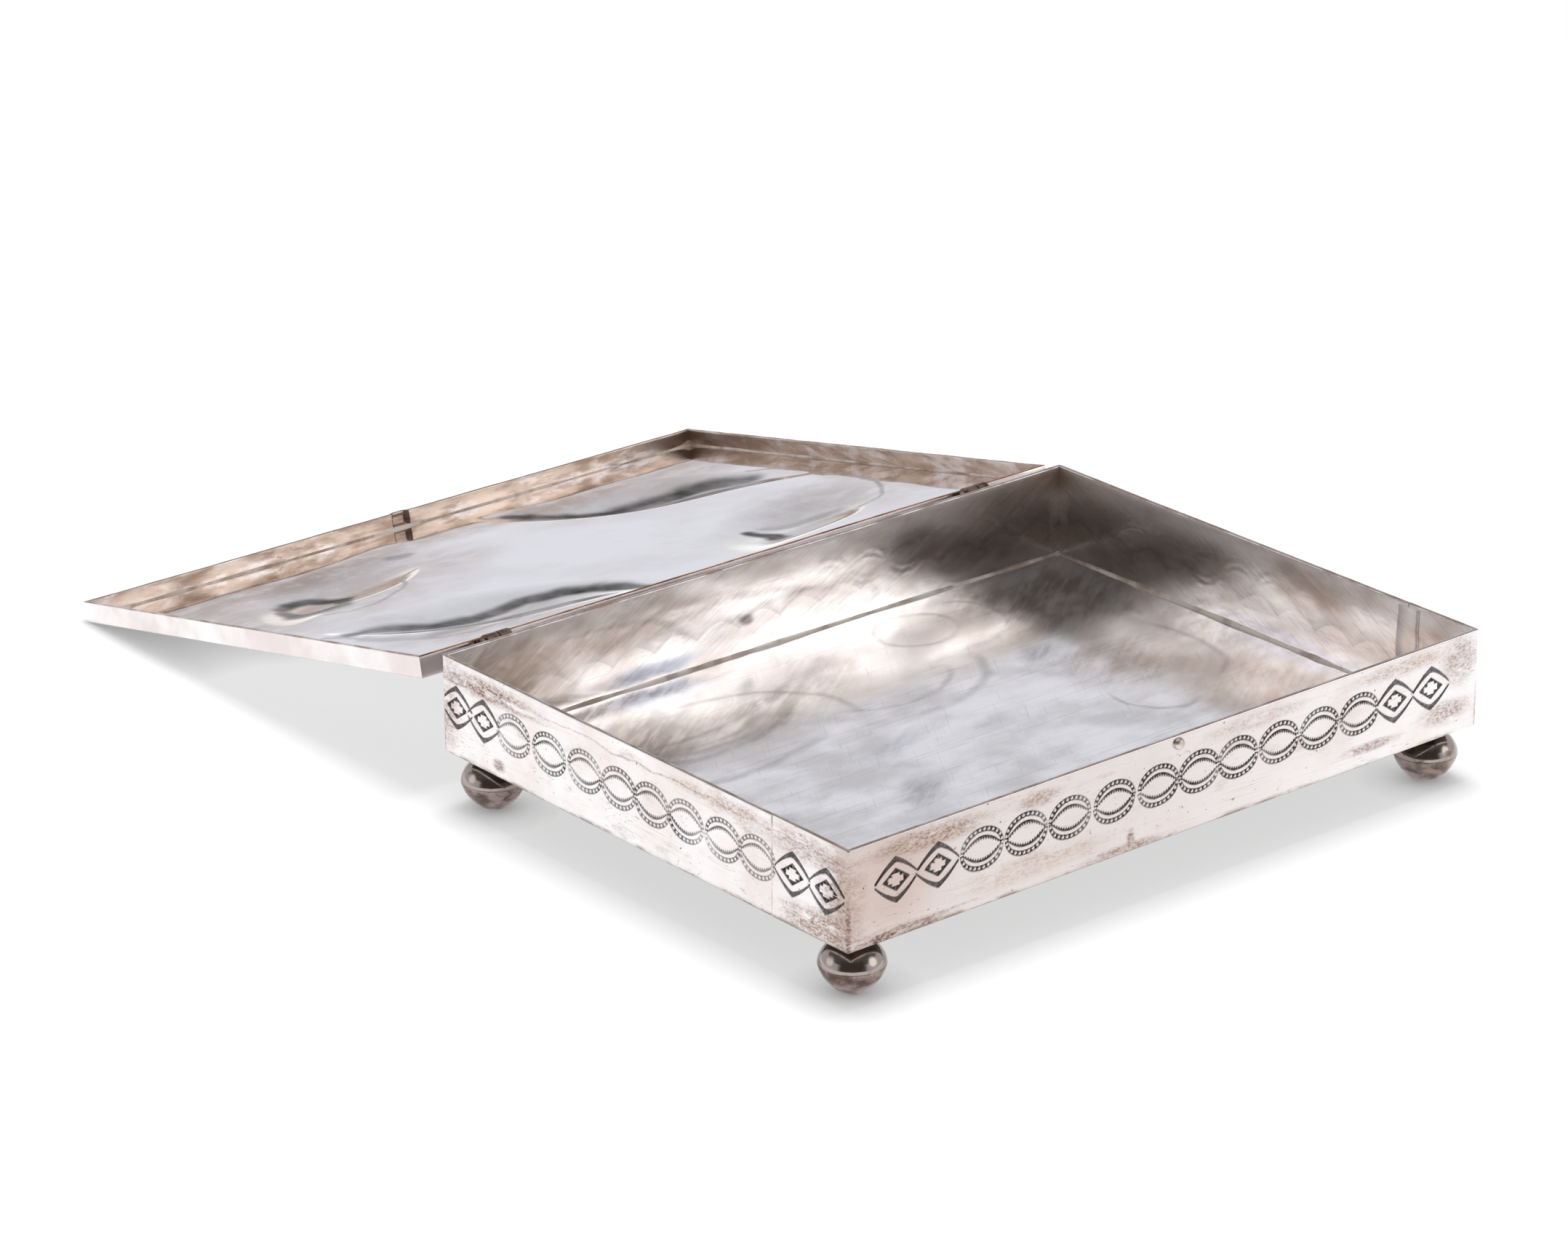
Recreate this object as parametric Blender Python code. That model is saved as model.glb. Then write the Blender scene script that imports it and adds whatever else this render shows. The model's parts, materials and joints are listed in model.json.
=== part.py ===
# Low rectangular silver keepsake box: an open tray on four hollow bead feet, with a shallow
# slip-over lid on two small tube hinges, shown swung right over with its far edge on the table.
# Units are metres, +Z is up, +X runs along the box and -Y is its front.

import math

import bmesh
import bpy
from mathutils import Vector

# Driving dimensions of the tray
TRAY_LENGTH = 0.180  # outside, along X
TRAY_DEPTH = 0.135  # outside, front to back
WALL_HEIGHT = 0.0227  # lower edge to rim
WALL_SHEET = 0.0010
WALL_CORNER_RADIUS = 0.0016  # outside of each bend
FLOOR_SHEET = 0.0009
RIM_EASE = 0.00015  # small flat filed on each edge of the rim
FOOT_EDGE_EASE = 0.0003  # rounding along the lower outside edge
SOLDER_GAP = 0.0003  # joint between two pieces that are soldered together

# The two bent wall strips meet on the short sides, over a strap inside
LEFT_SEAM_FROM_FRONT = 0.0237
RIGHT_SEAM_FROM_FRONT = 0.0205
STRAP_WIDTH = 0.0062
STRAP_SHEET = 0.0006
STRAP_BELOW_RIM = 0.0007

# Bead feet, each made of two domed halves
FOOT_HEIGHT = 0.0127  # table to the walls' lower edge
FOOT_RADIUS = 0.00712
FOOT_SETBACK = 0.0005  # from the walls' outer faces to the bead's side
FOOT_SHEET = 0.0007
FOOT_VENT_RADIUS = 0.0008
FOOT_FLAT_RADIUS = 0.0014  # worn flat that it stands on
UPPER_DOME_POWER = 2.0  # 2 is an ellipse, less is more conical
LOWER_DOME_POWER = 1.7
FOOT_SEAM_SHARE = 0.5  # height of the seam as a share of the foot's height

# Catch: a half bead under the rim, and the recess that it snaps into
CATCH_RADIUS = 0.0013
CATCH_BELOW_RIM = 0.0019
CATCH_PROUD = 0.0008

# Stamped band: outlines sunk into the walls, two diamonds at each end of every row of ovals
STAMP_DEPTH = 0.00025
STAMP_LINE_HEIGHT = 0.0123  # middle of the band above the walls' lower edge
OVAL_PITCH = 0.0119
DIAMOND_PITCH = 0.0111
DIAMOND_TO_OVAL = 0.0115
LONG_SIDE_OVALS = 10
SHORT_SIDE_OVALS = 8
OVAL_HALF_WIDTH = 0.0057
OVAL_HALF_HEIGHT = 0.0047
OVAL_BAND = 0.0011
DIAMOND_HALF_WIDTH = 0.0053
DIAMOND_HALF_HEIGHT = 0.0050
DIAMOND_STROKE = 0.0011
INNER_DIAMOND_SHARE = 0.58  # size of the small diamond beside the large one
FACING_SPACE = 0.0005  # between the two halves of every motif

# Lid
LID_SHEET = 0.0009
LID_CLEARANCE = 0.0003  # all round, between the tray's walls and the lid's rim
LID_DEPTH = 0.0041  # inside depth, from the rim's edge to the plate
LID_SEAT_GAP = 0.0003  # left under the plate when the lid is closed
LID_EDGE_EASE = 0.0002
LIP_BULGE = 0.00095  # how far the rim is pushed out where the catch passes
RECESS_BULGE = 0.00125
RECESS_SLOPE = 0.0010  # length of the recess's sloping sides
RECESS_SIDE_ROOM = 0.0003
LIP_HEIGHT = 0.0008

# Leaf lobes raised on the lid, one in each quarter. Places and reach follow the plate.
LOBE_HEIGHT = 0.0030
LOBE_PLACE_SHARES = (0.50, 0.445)
LOBE_HALF_LENGTH_SHARE = 0.38  # of the plate's half length
LOBE_HALF_WIDTH_SHARE = 0.24  # this and the next two are shares of the plate's half depth
LOBE_FALL_SHARE = 0.12  # how far a lobe slants over half its length
LOBE_HOOK_SHARE = 0.24  # how far each tip curls beyond that
LOBE_SOFTNESS = 1.4  # power of the cross-section, higher is softer at the edge

# Hinges: one tube on the tray and one on the lid, side by side on a riveted pin
LEFT_HINGE_FROM_END = 0.0179
RIGHT_HINGE_FROM_END = 0.0232
KNUCKLE_LENGTH = 0.0030
KNUCKLE_RADIUS = 0.0020
KNUCKLE_GAP = 0.00045  # from a tube to the lid's rim beside it
KNUCKLE_SPACE = 0.0003  # between two tubes
PIN_RADIUS = 0.0008
PIN_CLEARANCE = 0.00005
PIN_HEAD_RADIUS = 0.0013
PIN_HEAD_HEIGHT = 0.0005
RIM_BELOW_AXIS = 0.0010  # closed, how far the lid's rim reaches below the hinge axis
LEG_FOOT_HEIGHT = 0.0018
PAD_HALF_HEIGHT = 0.0009
LEG_TOP_DEGREES = 212.0
LEG_STEP_DEGREES = 2.0
LEG_TANGENT_DEGREES = 290.0
PAD_BLEND_DEGREES = 14.0

# Counts of segments
CORNER_STEPS = 5
OVAL_STEPS = 6
DOME_SEGMENTS = 28
DOME_STEPS = 6
BEAD_SEGMENTS = 20
BEAD_STEPS = 5
TUBE_SEGMENTS = 20
SIDE_STEPS = 4  # along a straight side of a tube's outline
LOBE_COLUMNS = 40
LOBE_ROWS = 30
RECESS_COLUMNS = 14
RECESS_ROWS = 9

# Silver finishes: colour, roughness
FINISHES = {
    "outside": ((0.86, 0.81, 0.78), 0.28),
    "inside": ((0.74, 0.70, 0.67), 0.32),
    "floor": ((0.66, 0.65, 0.66), 0.34),
    "bead": ((0.62, 0.54, 0.50), 0.30),
    "lid": ((0.84, 0.83, 0.84), 0.14),
    "lid_rim": ((0.72, 0.61, 0.51), 0.34),
    "hinge": ((0.60, 0.52, 0.45), 0.36),
    "pin": ((0.42, 0.37, 0.33), 0.40),
}

# Sizes that follow from the driving dimensions
HALF_LENGTH = TRAY_LENGTH / 2
HALF_DEPTH = TRAY_DEPTH / 2
RIM_Z = FOOT_HEIGHT + WALL_HEIGHT
FLOOR_TOP_Z = FOOT_HEIGHT + FLOOR_SHEET
FOOT_INSET = FOOT_SETBACK + FOOT_RADIUS
SEAM_Z = FOOT_HEIGHT * FOOT_SEAM_SHARE
LID_WRAP = LID_CLEARANCE + LID_SHEET

# The lid's own frame is the hinge axis with the lid closed: front is -Y, plate on top
LID_BACK_Y = -(KNUCKLE_GAP + KNUCKLE_RADIUS)
LID_FRONT_Y = LID_BACK_Y - TRAY_DEPTH - 2 * LID_WRAP
LID_MIDDLE_Y = (LID_BACK_Y + LID_FRONT_Y) / 2
LID_HALF_LENGTH = HALF_LENGTH + LID_WRAP
LID_HALF_DEPTH = HALF_DEPTH + LID_WRAP
LID_LOW_Z = -RIM_BELOW_AXIS
PLATE_INNER_Z = LID_LOW_Z + LID_DEPTH
PLATE_OUTER_Z = PLATE_INNER_Z + LID_SHEET
PLATE_HALF_LENGTH = LID_HALF_LENGTH - LID_SHEET - SOLDER_GAP
PLATE_HALF_DEPTH = LID_HALF_DEPTH - LID_SHEET - SOLDER_GAP

# Hinge axis in the tray's frame
AXIS_Y = HALF_DEPTH + LID_WRAP - LID_BACK_Y
AXIS_Z = RIM_Z - (PLATE_INNER_Z - LID_SEAT_GAP)


def open_tilt():
    """Angle below level at which the open lid's far edge meets the table."""
    reach = -LID_FRONT_Y - LID_EDGE_EASE
    return math.asin(AXIS_Z / math.hypot(reach, PLATE_OUTER_Z)) - math.atan2(PLATE_OUTER_Z, reach)


def silver(name, finish):
    """A metal material for one piece."""
    colour, roughness = FINISHES[finish]
    material = bpy.data.materials.new(name + "_silver")
    material.use_nodes = True
    shader = material.node_tree.nodes["Principled BSDF"]
    shader.inputs["Base Color"].default_value = (*colour, 1.0)
    shader.inputs["Metallic"].default_value = 1.0
    shader.inputs["Roughness"].default_value = roughness
    return material


def add_object(name, mesh, finish, parent, location=(0, 0, 0), rotation=(0, 0, 0)):
    """Place a mesh as a named piece under its frame, with its own material."""
    piece = bpy.data.objects.new(name, mesh)
    piece.parent = parent
    piece.location = location
    piece.rotation_euler = rotation
    bpy.context.collection.objects.link(piece)
    if not mesh.materials:
        mesh.materials.append(None)
    piece.material_slots[0].link = "OBJECT"
    piece.material_slots[0].material = silver(name, finish)
    return piece


def add_frame(name, parent=None, location=(0, 0, 0), rotation=(0, 0, 0)):
    """An empty that carries the pieces of one body."""
    frame = bpy.data.objects.new(name, None)
    frame.parent = parent
    frame.location = location
    frame.rotation_euler = rotation
    bpy.context.collection.objects.link(frame)
    return frame


def finish_mesh(name, work, smooth_degrees):
    """Turn a bmesh into a mesh whose faces point out, smooth up to the given angle."""
    bmesh.ops.recalc_face_normals(work, faces=work.faces)
    mesh = bpy.data.meshes.new(name)
    work.to_mesh(mesh)
    work.free()
    mesh.shade_smooth()
    mesh.set_sharp_from_angle(angle=math.radians(smooth_degrees))
    return mesh


def ring_mesh(name, rings, looped=False, smooth_degrees=35.0):
    """Skin rings of points. A ring of one point is a pole; open ends are capped."""
    work = bmesh.new()
    loops = [[work.verts.new(point) for point in ring] for ring in rings]
    pairs = list(zip(loops, loops[1:]))
    if looped:
        pairs.append((loops[-1], loops[0]))
    for one, two in pairs:
        count = max(len(one), len(two))
        for index in range(count):
            after = (index + 1) % count
            corners = [one[index % len(one)], one[after % len(one)]]
            corners += [two[after % len(two)], two[index % len(two)]]
            work.faces.new(list(dict.fromkeys(corners)))
    if not looped:
        for end in (loops[0], loops[-1]):
            if len(end) > 1:
                work.faces.new(end)
    return finish_mesh(name, work, smooth_degrees)


def turned_mesh(name, profile, segments, closed=False, smooth_degrees=35.0):
    """Turn a profile of (radius, height) points about Z."""
    rings = []
    for radius, height in profile:
        if radius == 0:
            rings.append([Vector((0, 0, height))])
            continue
        turns = [2 * math.pi * step / segments for step in range(segments)]
        rings.append([Vector((radius * math.cos(a), radius * math.sin(a), height)) for a in turns])
    return ring_mesh(name, rings, closed, smooth_degrees)


def plan_path(points, radius, closed=False):
    """Stations (place, inward) along a counter-clockwise plan outline with rounded corners."""
    stations = []
    count = len(points)
    for index, point in enumerate(points):
        here = Vector(point)
        if not closed and index in (0, count - 1):
            other = Vector(points[1 if index == 0 else count - 2])
            along = (other - here) if index == 0 else (here - other)
            along.normalize()
            stations.append((here, Vector((-along.y, along.x))))
            continue
        before = (here - Vector(points[index - 1])).normalized()
        after = (Vector(points[(index + 1) % count]) - here).normalized()
        centre = here - before * radius + after * radius
        first = math.atan2(-before.x, before.y)
        for step in range(CORNER_STEPS + 1):
            angle = first + math.pi / 2 * step / CORNER_STEPS
            out = Vector((math.cos(angle), math.sin(angle)))
            stations.append((centre + out * radius, -out))
    return stations


def wall_section():
    """Section of a wall strip: (distance inward, height) points."""
    return [
        (0, FOOT_HEIGHT + FOOT_EDGE_EASE),
        (0, RIM_Z - RIM_EASE),
        (RIM_EASE, RIM_Z),
        (WALL_SHEET - RIM_EASE, RIM_Z),
        (WALL_SHEET, RIM_Z - RIM_EASE),
        (WALL_SHEET, FOOT_HEIGHT),
        (FOOT_EDGE_EASE, FOOT_HEIGHT),
    ]


def wall_mesh(name, points):
    """A bent wall strip that follows a plan outline."""
    rings = []
    for place, inward in plan_path(points, WALL_CORNER_RADIUS):
        ring = []
        for offset, height in wall_section():
            spot = place + inward * offset
            ring.append(Vector((spot.x, spot.y, height)))
        rings.append(ring)
    return ring_mesh(name, rings)


def crescent(half):
    """Outline of an oval's upper (+1) or lower (-1) half band."""
    outer, inner = [], []
    for step in range(OVAL_STEPS + 1):
        angle = math.pi * step / OVAL_STEPS
        side, rise = math.cos(angle), math.sin(angle)
        outer.append((OVAL_HALF_WIDTH * side, half * (FACING_SPACE / 2 + OVAL_HALF_HEIGHT * rise)))
        narrow = (OVAL_HALF_WIDTH - OVAL_BAND) * side
        inner.append((narrow, half * (FACING_SPACE / 2 + (OVAL_HALF_HEIGHT - OVAL_BAND) * rise)))
    return outer + inner[::-1]


def chevron(half, share):
    """Outline of a diamond's upper (+1) or lower (-1) half stroke, at a share of full size."""
    wide, tall = DIAMOND_HALF_WIDTH * share, DIAMOND_HALF_HEIGHT * share
    stroke = DIAMOND_STROKE * math.sqrt(share)
    low = half * FACING_SPACE / 2
    drop = stroke * tall / wide
    rise = stroke * math.hypot(wide, tall) / wide
    return [
        (-wide, low),
        (-wide, low + half * drop),
        (0, low + half * tall),
        (wide, low + half * drop),
        (wide, low),
        (0, low + half * (tall - rise)),
    ]


def stamp_outlines(ovals):
    """All outlines of one side's row of motifs, about the middle of that side."""
    outlines = []
    first = -OVAL_PITCH * (ovals - 1) / 2
    for index in range(ovals):
        middle = first + OVAL_PITCH * index
        outlines += [[(middle + u, v) for u, v in crescent(half)] for half in (-1, 1)]
    for end in (-1, 1):
        for place in (0, DIAMOND_PITCH):
            middle = end * (-first + DIAMOND_TO_OVAL + place)
            for half in (-1, 1):
                for share in (1, INNER_DIAMOND_SHARE):
                    outlines.append([(middle + u, v) for u, v in chevron(half, share)])
    return outlines


def stamp_cutter(name, ovals, face_distance, turn, tray):
    """Hidden prisms that sink a row of motifs into the wall at that distance and turn."""
    work = bmesh.new()
    near = -face_distance + STAMP_DEPTH
    far = -face_distance - WALL_SHEET
    height = FOOT_HEIGHT + STAMP_LINE_HEIGHT
    for outline in stamp_outlines(ovals):
        ends = [[work.verts.new((u, y, height + v)) for u, v in outline] for y in (near, far)]
        count = len(outline)
        for index in range(count):
            after = (index + 1) % count
            work.faces.new((ends[0][index], ends[0][after], ends[1][after], ends[1][index]))
        work.faces.new(ends[0])
        work.faces.new(ends[1])
    mesh = finish_mesh(name, work, 1.0)
    cutter = add_object(name, mesh, "outside", tray, rotation=(0, 0, turn))
    cutter.hide_render = True
    cutter.display_type = "WIRE"
    return cutter


def sink_stamps(wall, cutters):
    """Cut the motifs out of a wall strip."""
    for cutter in cutters:
        cut = wall.modifiers.new(cutter.name, "BOOLEAN")
        cut.operation = "DIFFERENCE"
        cut.solver = "EXACT"
        cut.object = cutter


def build_walls(tray):
    """Front strip with two short returns, and the back strip that makes the rest."""
    left_y = -HALF_DEPTH + LEFT_SEAM_FROM_FRONT
    right_y = -HALF_DEPTH + RIGHT_SEAM_FROM_FRONT
    half_gap = SOLDER_GAP / 2
    front = [
        (-HALF_LENGTH, left_y - half_gap),
        (-HALF_LENGTH, -HALF_DEPTH),
        (HALF_LENGTH, -HALF_DEPTH),
        (HALF_LENGTH, right_y - half_gap),
    ]
    back = [
        (HALF_LENGTH, right_y + half_gap),
        (HALF_LENGTH, HALF_DEPTH),
        (-HALF_LENGTH, HALF_DEPTH),
        (-HALF_LENGTH, left_y + half_gap),
    ]
    front_wall = add_object("front_wall", wall_mesh("front_wall", front), "outside", tray)
    back_wall = add_object("back_wall", wall_mesh("back_wall", back), "outside", tray)
    quarter = math.pi / 2
    front_row = stamp_cutter("front_stamps", LONG_SIDE_OVALS, HALF_DEPTH, 0, tray)
    right_row = stamp_cutter("right_stamps", SHORT_SIDE_OVALS, HALF_LENGTH, quarter, tray)
    back_row = stamp_cutter("back_stamps", LONG_SIDE_OVALS, HALF_DEPTH, 2 * quarter, tray)
    left_row = stamp_cutter("left_stamps", SHORT_SIDE_OVALS, HALF_LENGTH, -quarter, tray)
    sink_stamps(front_wall, (front_row, left_row, right_row))
    sink_stamps(back_wall, (back_row, left_row, right_row))


def build_straps(tray):
    """A flat strap inside each wall joint, standing on the floor."""
    low = FLOOR_TOP_Z + SOLDER_GAP
    high = RIM_Z - STRAP_BELOW_RIM
    near = HALF_LENGTH - WALL_SHEET - SOLDER_GAP
    ease = STRAP_SHEET / 4
    for name, side, seam in (
        ("seam_strap_left", -1, LEFT_SEAM_FROM_FRONT),
        ("seam_strap_right", 1, RIGHT_SEAM_FROM_FRONT),
    ):
        middle = -HALF_DEPTH + seam
        section = [
            (near, -STRAP_WIDTH / 2),
            (near, STRAP_WIDTH / 2),
            (near - STRAP_SHEET + ease, STRAP_WIDTH / 2),
            (near - STRAP_SHEET, STRAP_WIDTH / 2 - ease),
            (near - STRAP_SHEET, -STRAP_WIDTH / 2 + ease),
            (near - STRAP_SHEET + ease, -STRAP_WIDTH / 2),
        ]
        rings = [[Vector((side * x, middle + y, z)) for x, y in section] for z in (low, high)]
        add_object(name, ring_mesh(name, rings), "inside", tray)


def build_floor(tray):
    """The flat floor, let in between the walls and flush with their lower edge."""
    reach_x = HALF_LENGTH - WALL_SHEET - SOLDER_GAP
    reach_y = HALF_DEPTH - WALL_SHEET - SOLDER_GAP
    corners = [(-reach_x, -reach_y), (reach_x, -reach_y), (reach_x, reach_y), (-reach_x, reach_y)]
    outline = plan_path(corners, WALL_CORNER_RADIUS - WALL_SHEET, closed=True)
    rings = []
    for height in (FOOT_HEIGHT, FLOOR_TOP_Z):
        rings.append([Vector((place.x, place.y, height)) for place, inward in outline])
    add_object("floor_plate", ring_mesh("floor_plate", rings), "floor", tray)


def dome_arc(radius, height, power, end_radius):
    """Quarter profile (radius, height) from the seam to where it narrows to end_radius."""
    last = math.acos((end_radius / radius) ** (power / 2))
    points = []
    for step in range(DOME_STEPS + 1):
        angle = last * step / DOME_STEPS
        wide = radius * math.cos(angle) ** (2 / power)
        tall = height * math.sin(angle) ** (2 / power)
        points.append((wide, tall))
    return points


def upper_dome_profile():
    """Closed section of the upper half, with the vent hole at its top."""
    base = SEAM_Z + SOLDER_GAP / 2
    rise = FOOT_HEIGHT - SOLDER_GAP - base
    inner_radius = FOOT_RADIUS - FOOT_SHEET
    outer = dome_arc(FOOT_RADIUS, rise, UPPER_DOME_POWER, FOOT_VENT_RADIUS)
    inner = dome_arc(inner_radius, rise - FOOT_SHEET, UPPER_DOME_POWER, FOOT_VENT_RADIUS)
    section = outer + inner[::-1]
    return [(wide, base + tall) for wide, tall in section]


def lower_dome_profile():
    """Section of the lower half from its flat to the inside's deepest point."""
    base = SEAM_Z - SOLDER_GAP / 2
    cut_share = (1 - (FOOT_FLAT_RADIUS / FOOT_RADIUS) ** LOWER_DOME_POWER) ** (1 / LOWER_DOME_POWER)
    drop = base / cut_share
    outer = dome_arc(FOOT_RADIUS, drop, LOWER_DOME_POWER, FOOT_FLAT_RADIUS)
    inner = dome_arc(FOOT_RADIUS - FOOT_SHEET, base - FOOT_SHEET, LOWER_DOME_POWER, FOOT_FLAT_RADIUS)
    section = [(wide, base - tall) for wide, tall in outer[:-1]]
    section.append((FOOT_FLAT_RADIUS, 0))
    section.append((0, 0))
    hollow = [(0, FOOT_SHEET)]
    hollow += [(wide, base - tall) for wide, tall in inner[-2::-1]]
    return section[::-1], hollow


def build_feet(tray):
    """Four beads, each of an upper and a lower dome with a seam between them."""
    upper = turned_mesh("foot_upper", upper_dome_profile(), DOME_SEGMENTS, closed=True)
    outside, hollow = lower_dome_profile()
    lower = turned_mesh("foot_lower", outside + hollow[::-1], DOME_SEGMENTS)
    places = {
        "front_left": (-1, -1),
        "front_right": (1, -1),
        "back_left": (-1, 1),
        "back_right": (1, 1),
    }
    for place, (side_x, side_y) in places.items():
        x = side_x * (HALF_LENGTH - FOOT_INSET)
        y = side_y * (HALF_DEPTH - FOOT_INSET)
        add_object("foot_" + place + "_upper", upper, "bead", tray, (x, y, 0))
        add_object("foot_" + place + "_lower", lower, "bead", tray, (x, y, 0))


def build_catch(tray):
    """Half bead on the front wall, just under the rim at its middle."""
    profile = [(0, 0), (CATCH_RADIUS, 0)]
    for step in range(1, BEAD_STEPS):
        angle = math.pi / 2 * step / BEAD_STEPS
        profile.append((CATCH_RADIUS * math.cos(angle), CATCH_PROUD * math.sin(angle)))
    profile.append((0, CATCH_PROUD))
    mesh = turned_mesh("catch_bead", profile, BEAD_SEGMENTS, smooth_degrees=50.0)
    place = (0, -HALF_DEPTH - SOLDER_GAP, RIM_Z - CATCH_BELOW_RIM)
    add_object("catch_bead", mesh, "outside", tray, place, (math.pi / 2, 0, 0))


def knuckle_mesh(name, outline):
    """A tube along X, its outline given as (y, z) points in order round its bore."""
    bore = PIN_RADIUS + PIN_CLEARANCE
    half = KNUCKLE_LENGTH / 2
    inner = [Vector(point).normalized() * bore for point in outline]
    rings = []
    for x, ring in ((-half, outline), (half, outline), (half, inner), (-half, inner)):
        rings.append([Vector((x, *point)) for point in ring])
    return ring_mesh(name, rings, looped=True)


def arc_outline(start, end):
    """Points round the tube from one angle to another."""
    steps = [start + (end - start) * step / TUBE_SEGMENTS for step in range(TUBE_SEGMENTS + 1)]
    return [(KNUCKLE_RADIUS * math.cos(angle), KNUCKLE_RADIUS * math.sin(angle)) for angle in steps]


def straight_run(start, end):
    """Points between two ends of a straight side, without the ends."""
    line = Vector(end) - Vector(start)
    return [tuple(Vector(start) + line * step / SIDE_STEPS) for step in range(1, SIDE_STEPS)]


def tray_knuckle_outline():
    """Tube with a leg that reaches the back wall below the closed lid's rim."""
    reach = AXIS_Y - HALF_DEPTH - SOLDER_GAP
    leg_top = math.radians(LEG_TOP_DEGREES)
    first = math.radians(LEG_TANGENT_DEGREES) - 2 * math.pi
    top_drop = reach * math.tan(leg_top + math.radians(LEG_STEP_DEGREES) - math.pi)
    low_corner = (-reach, -top_drop - LEG_FOOT_HEIGHT)
    outline = arc_outline(first, leg_top)
    start = outline[0]
    return outline + [(-reach, -top_drop), low_corner] + straight_run(low_corner, start)


def lid_knuckle_outline():
    """Tube with a flat pad that lies on the lid's back strip."""
    reach = -LID_BACK_Y - SOLDER_GAP
    low = (-reach, -PAD_HALF_HEIGHT)
    high = (-reach, PAD_HALF_HEIGHT)
    side = math.pi - math.atan2(PAD_HALF_HEIGHT, reach) - math.radians(PAD_BLEND_DEGREES)
    return arc_outline(-side, side) + [high] + straight_run(high, low) + [low]


def pin_mesh():
    """Riveted pin along Z with a low head at each end."""
    half = KNUCKLE_LENGTH + KNUCKLE_SPACE / 2 + SOLDER_GAP
    crown = PIN_HEAD_HEIGHT / 2
    profile = [
        (0, -half - PIN_HEAD_HEIGHT),
        (PIN_RADIUS, -half - PIN_HEAD_HEIGHT),
        (PIN_HEAD_RADIUS, -half - crown),
        (PIN_HEAD_RADIUS, -half),
        (PIN_RADIUS, -half),
        (PIN_RADIUS, half),
        (PIN_HEAD_RADIUS, half),
        (PIN_HEAD_RADIUS, half + crown),
        (PIN_RADIUS, half + PIN_HEAD_HEIGHT),
        (0, half + PIN_HEAD_HEIGHT),
    ]
    return turned_mesh("hinge_pin", profile, TUBE_SEGMENTS)


def build_hinges(tray, lid):
    """At each hinge the lid's tube is on the left and the tray's tube on the right."""
    tray_tube = knuckle_mesh("tray_knuckle", tray_knuckle_outline())
    lid_tube = knuckle_mesh("lid_knuckle", lid_knuckle_outline())
    pin = pin_mesh()
    shift = (KNUCKLE_LENGTH + KNUCKLE_SPACE) / 2
    places = {
        "left": -HALF_LENGTH + LEFT_HINGE_FROM_END,
        "right": HALF_LENGTH - RIGHT_HINGE_FROM_END,
    }
    for side, x in places.items():
        add_object("tray_knuckle_" + side, tray_tube, "hinge", tray, (x + shift, AXIS_Y, AXIS_Z))
        add_object("lid_knuckle_" + side, lid_tube, "hinge", lid, (x - shift, 0, 0))
        turn = (0, math.pi / 2, 0)
        add_object("hinge_pin_" + side, pin, "pin", tray, (x, AXIS_Y, AXIS_Z), turn)


def lobe_relief(x, y):
    """How far the lid's plate is raised, x and y measured from its middle."""
    run = (abs(x) / PLATE_HALF_LENGTH - LOBE_PLACE_SHARES[0]) / LOBE_HALF_LENGTH_SHARE
    middle = LOBE_PLACE_SHARES[1] - LOBE_FALL_SHARE * run - LOBE_HOOK_SHARE * run ** 3
    across = (abs(y) / PLATE_HALF_DEPTH - middle) / LOBE_HALF_WIDTH_SHARE
    inside = 1 - run ** 2 - across ** 2
    return LOBE_HEIGHT * inside ** LOBE_SOFTNESS if inside > 0 else 0.0


def build_lid_plate(lid):
    """The plate, let in between the rim strips, with its lobes pressed outward."""
    columns = [2 * step / LOBE_COLUMNS - 1 for step in range(LOBE_COLUMNS + 1)]
    rows = [2 * step / LOBE_ROWS - 1 for step in range(LOBE_ROWS + 1)]
    work = bmesh.new()
    sheets = []
    for base in (PLATE_INNER_Z, PLATE_OUTER_Z):
        sheet = []
        for row in rows:
            y = row * PLATE_HALF_DEPTH
            line = []
            for column in columns:
                x = column * PLATE_HALF_LENGTH
                line.append(work.verts.new((x, LID_MIDDLE_Y + y, base + lobe_relief(x, y))))
            sheet.append(line)
        for low, high in zip(sheet, sheet[1:]):
            for index in range(LOBE_COLUMNS):
                work.faces.new((low[index], low[index + 1], high[index + 1], high[index]))
        sheets.append(sheet)
    edges = []
    for sheet in sheets:
        edge = list(sheet[0])
        edge += [line[-1] for line in sheet[1:]]
        edge += sheet[-1][-2::-1]
        edge += [line[0] for line in sheet[-2:0:-1]]
        edges.append(edge)
    lower, upper = edges
    for index in range(len(lower)):
        after = (index + 1) % len(lower)
        work.faces.new((lower[index], lower[after], upper[after], upper[index]))
    add_object("lid_plate", finish_mesh("lid_plate", work, 35.0), "lid", lid)


def rim_section(rows):
    """Section of a lid strip: (distance inward, height above its edge), outside then inside."""
    tall = LID_DEPTH + LID_SHEET
    ease = LID_EDGE_EASE
    heights = [ease + (tall - 2 * ease) * row / rows for row in range(rows + 1)]
    section = [(0, height) for height in heights]
    section += [(ease, tall), (LID_SHEET, tall)]
    section += [(LID_SHEET, height) for height in heights[::-1]]
    section += [(LID_SHEET - ease, 0), (ease, 0)]
    return section


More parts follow.
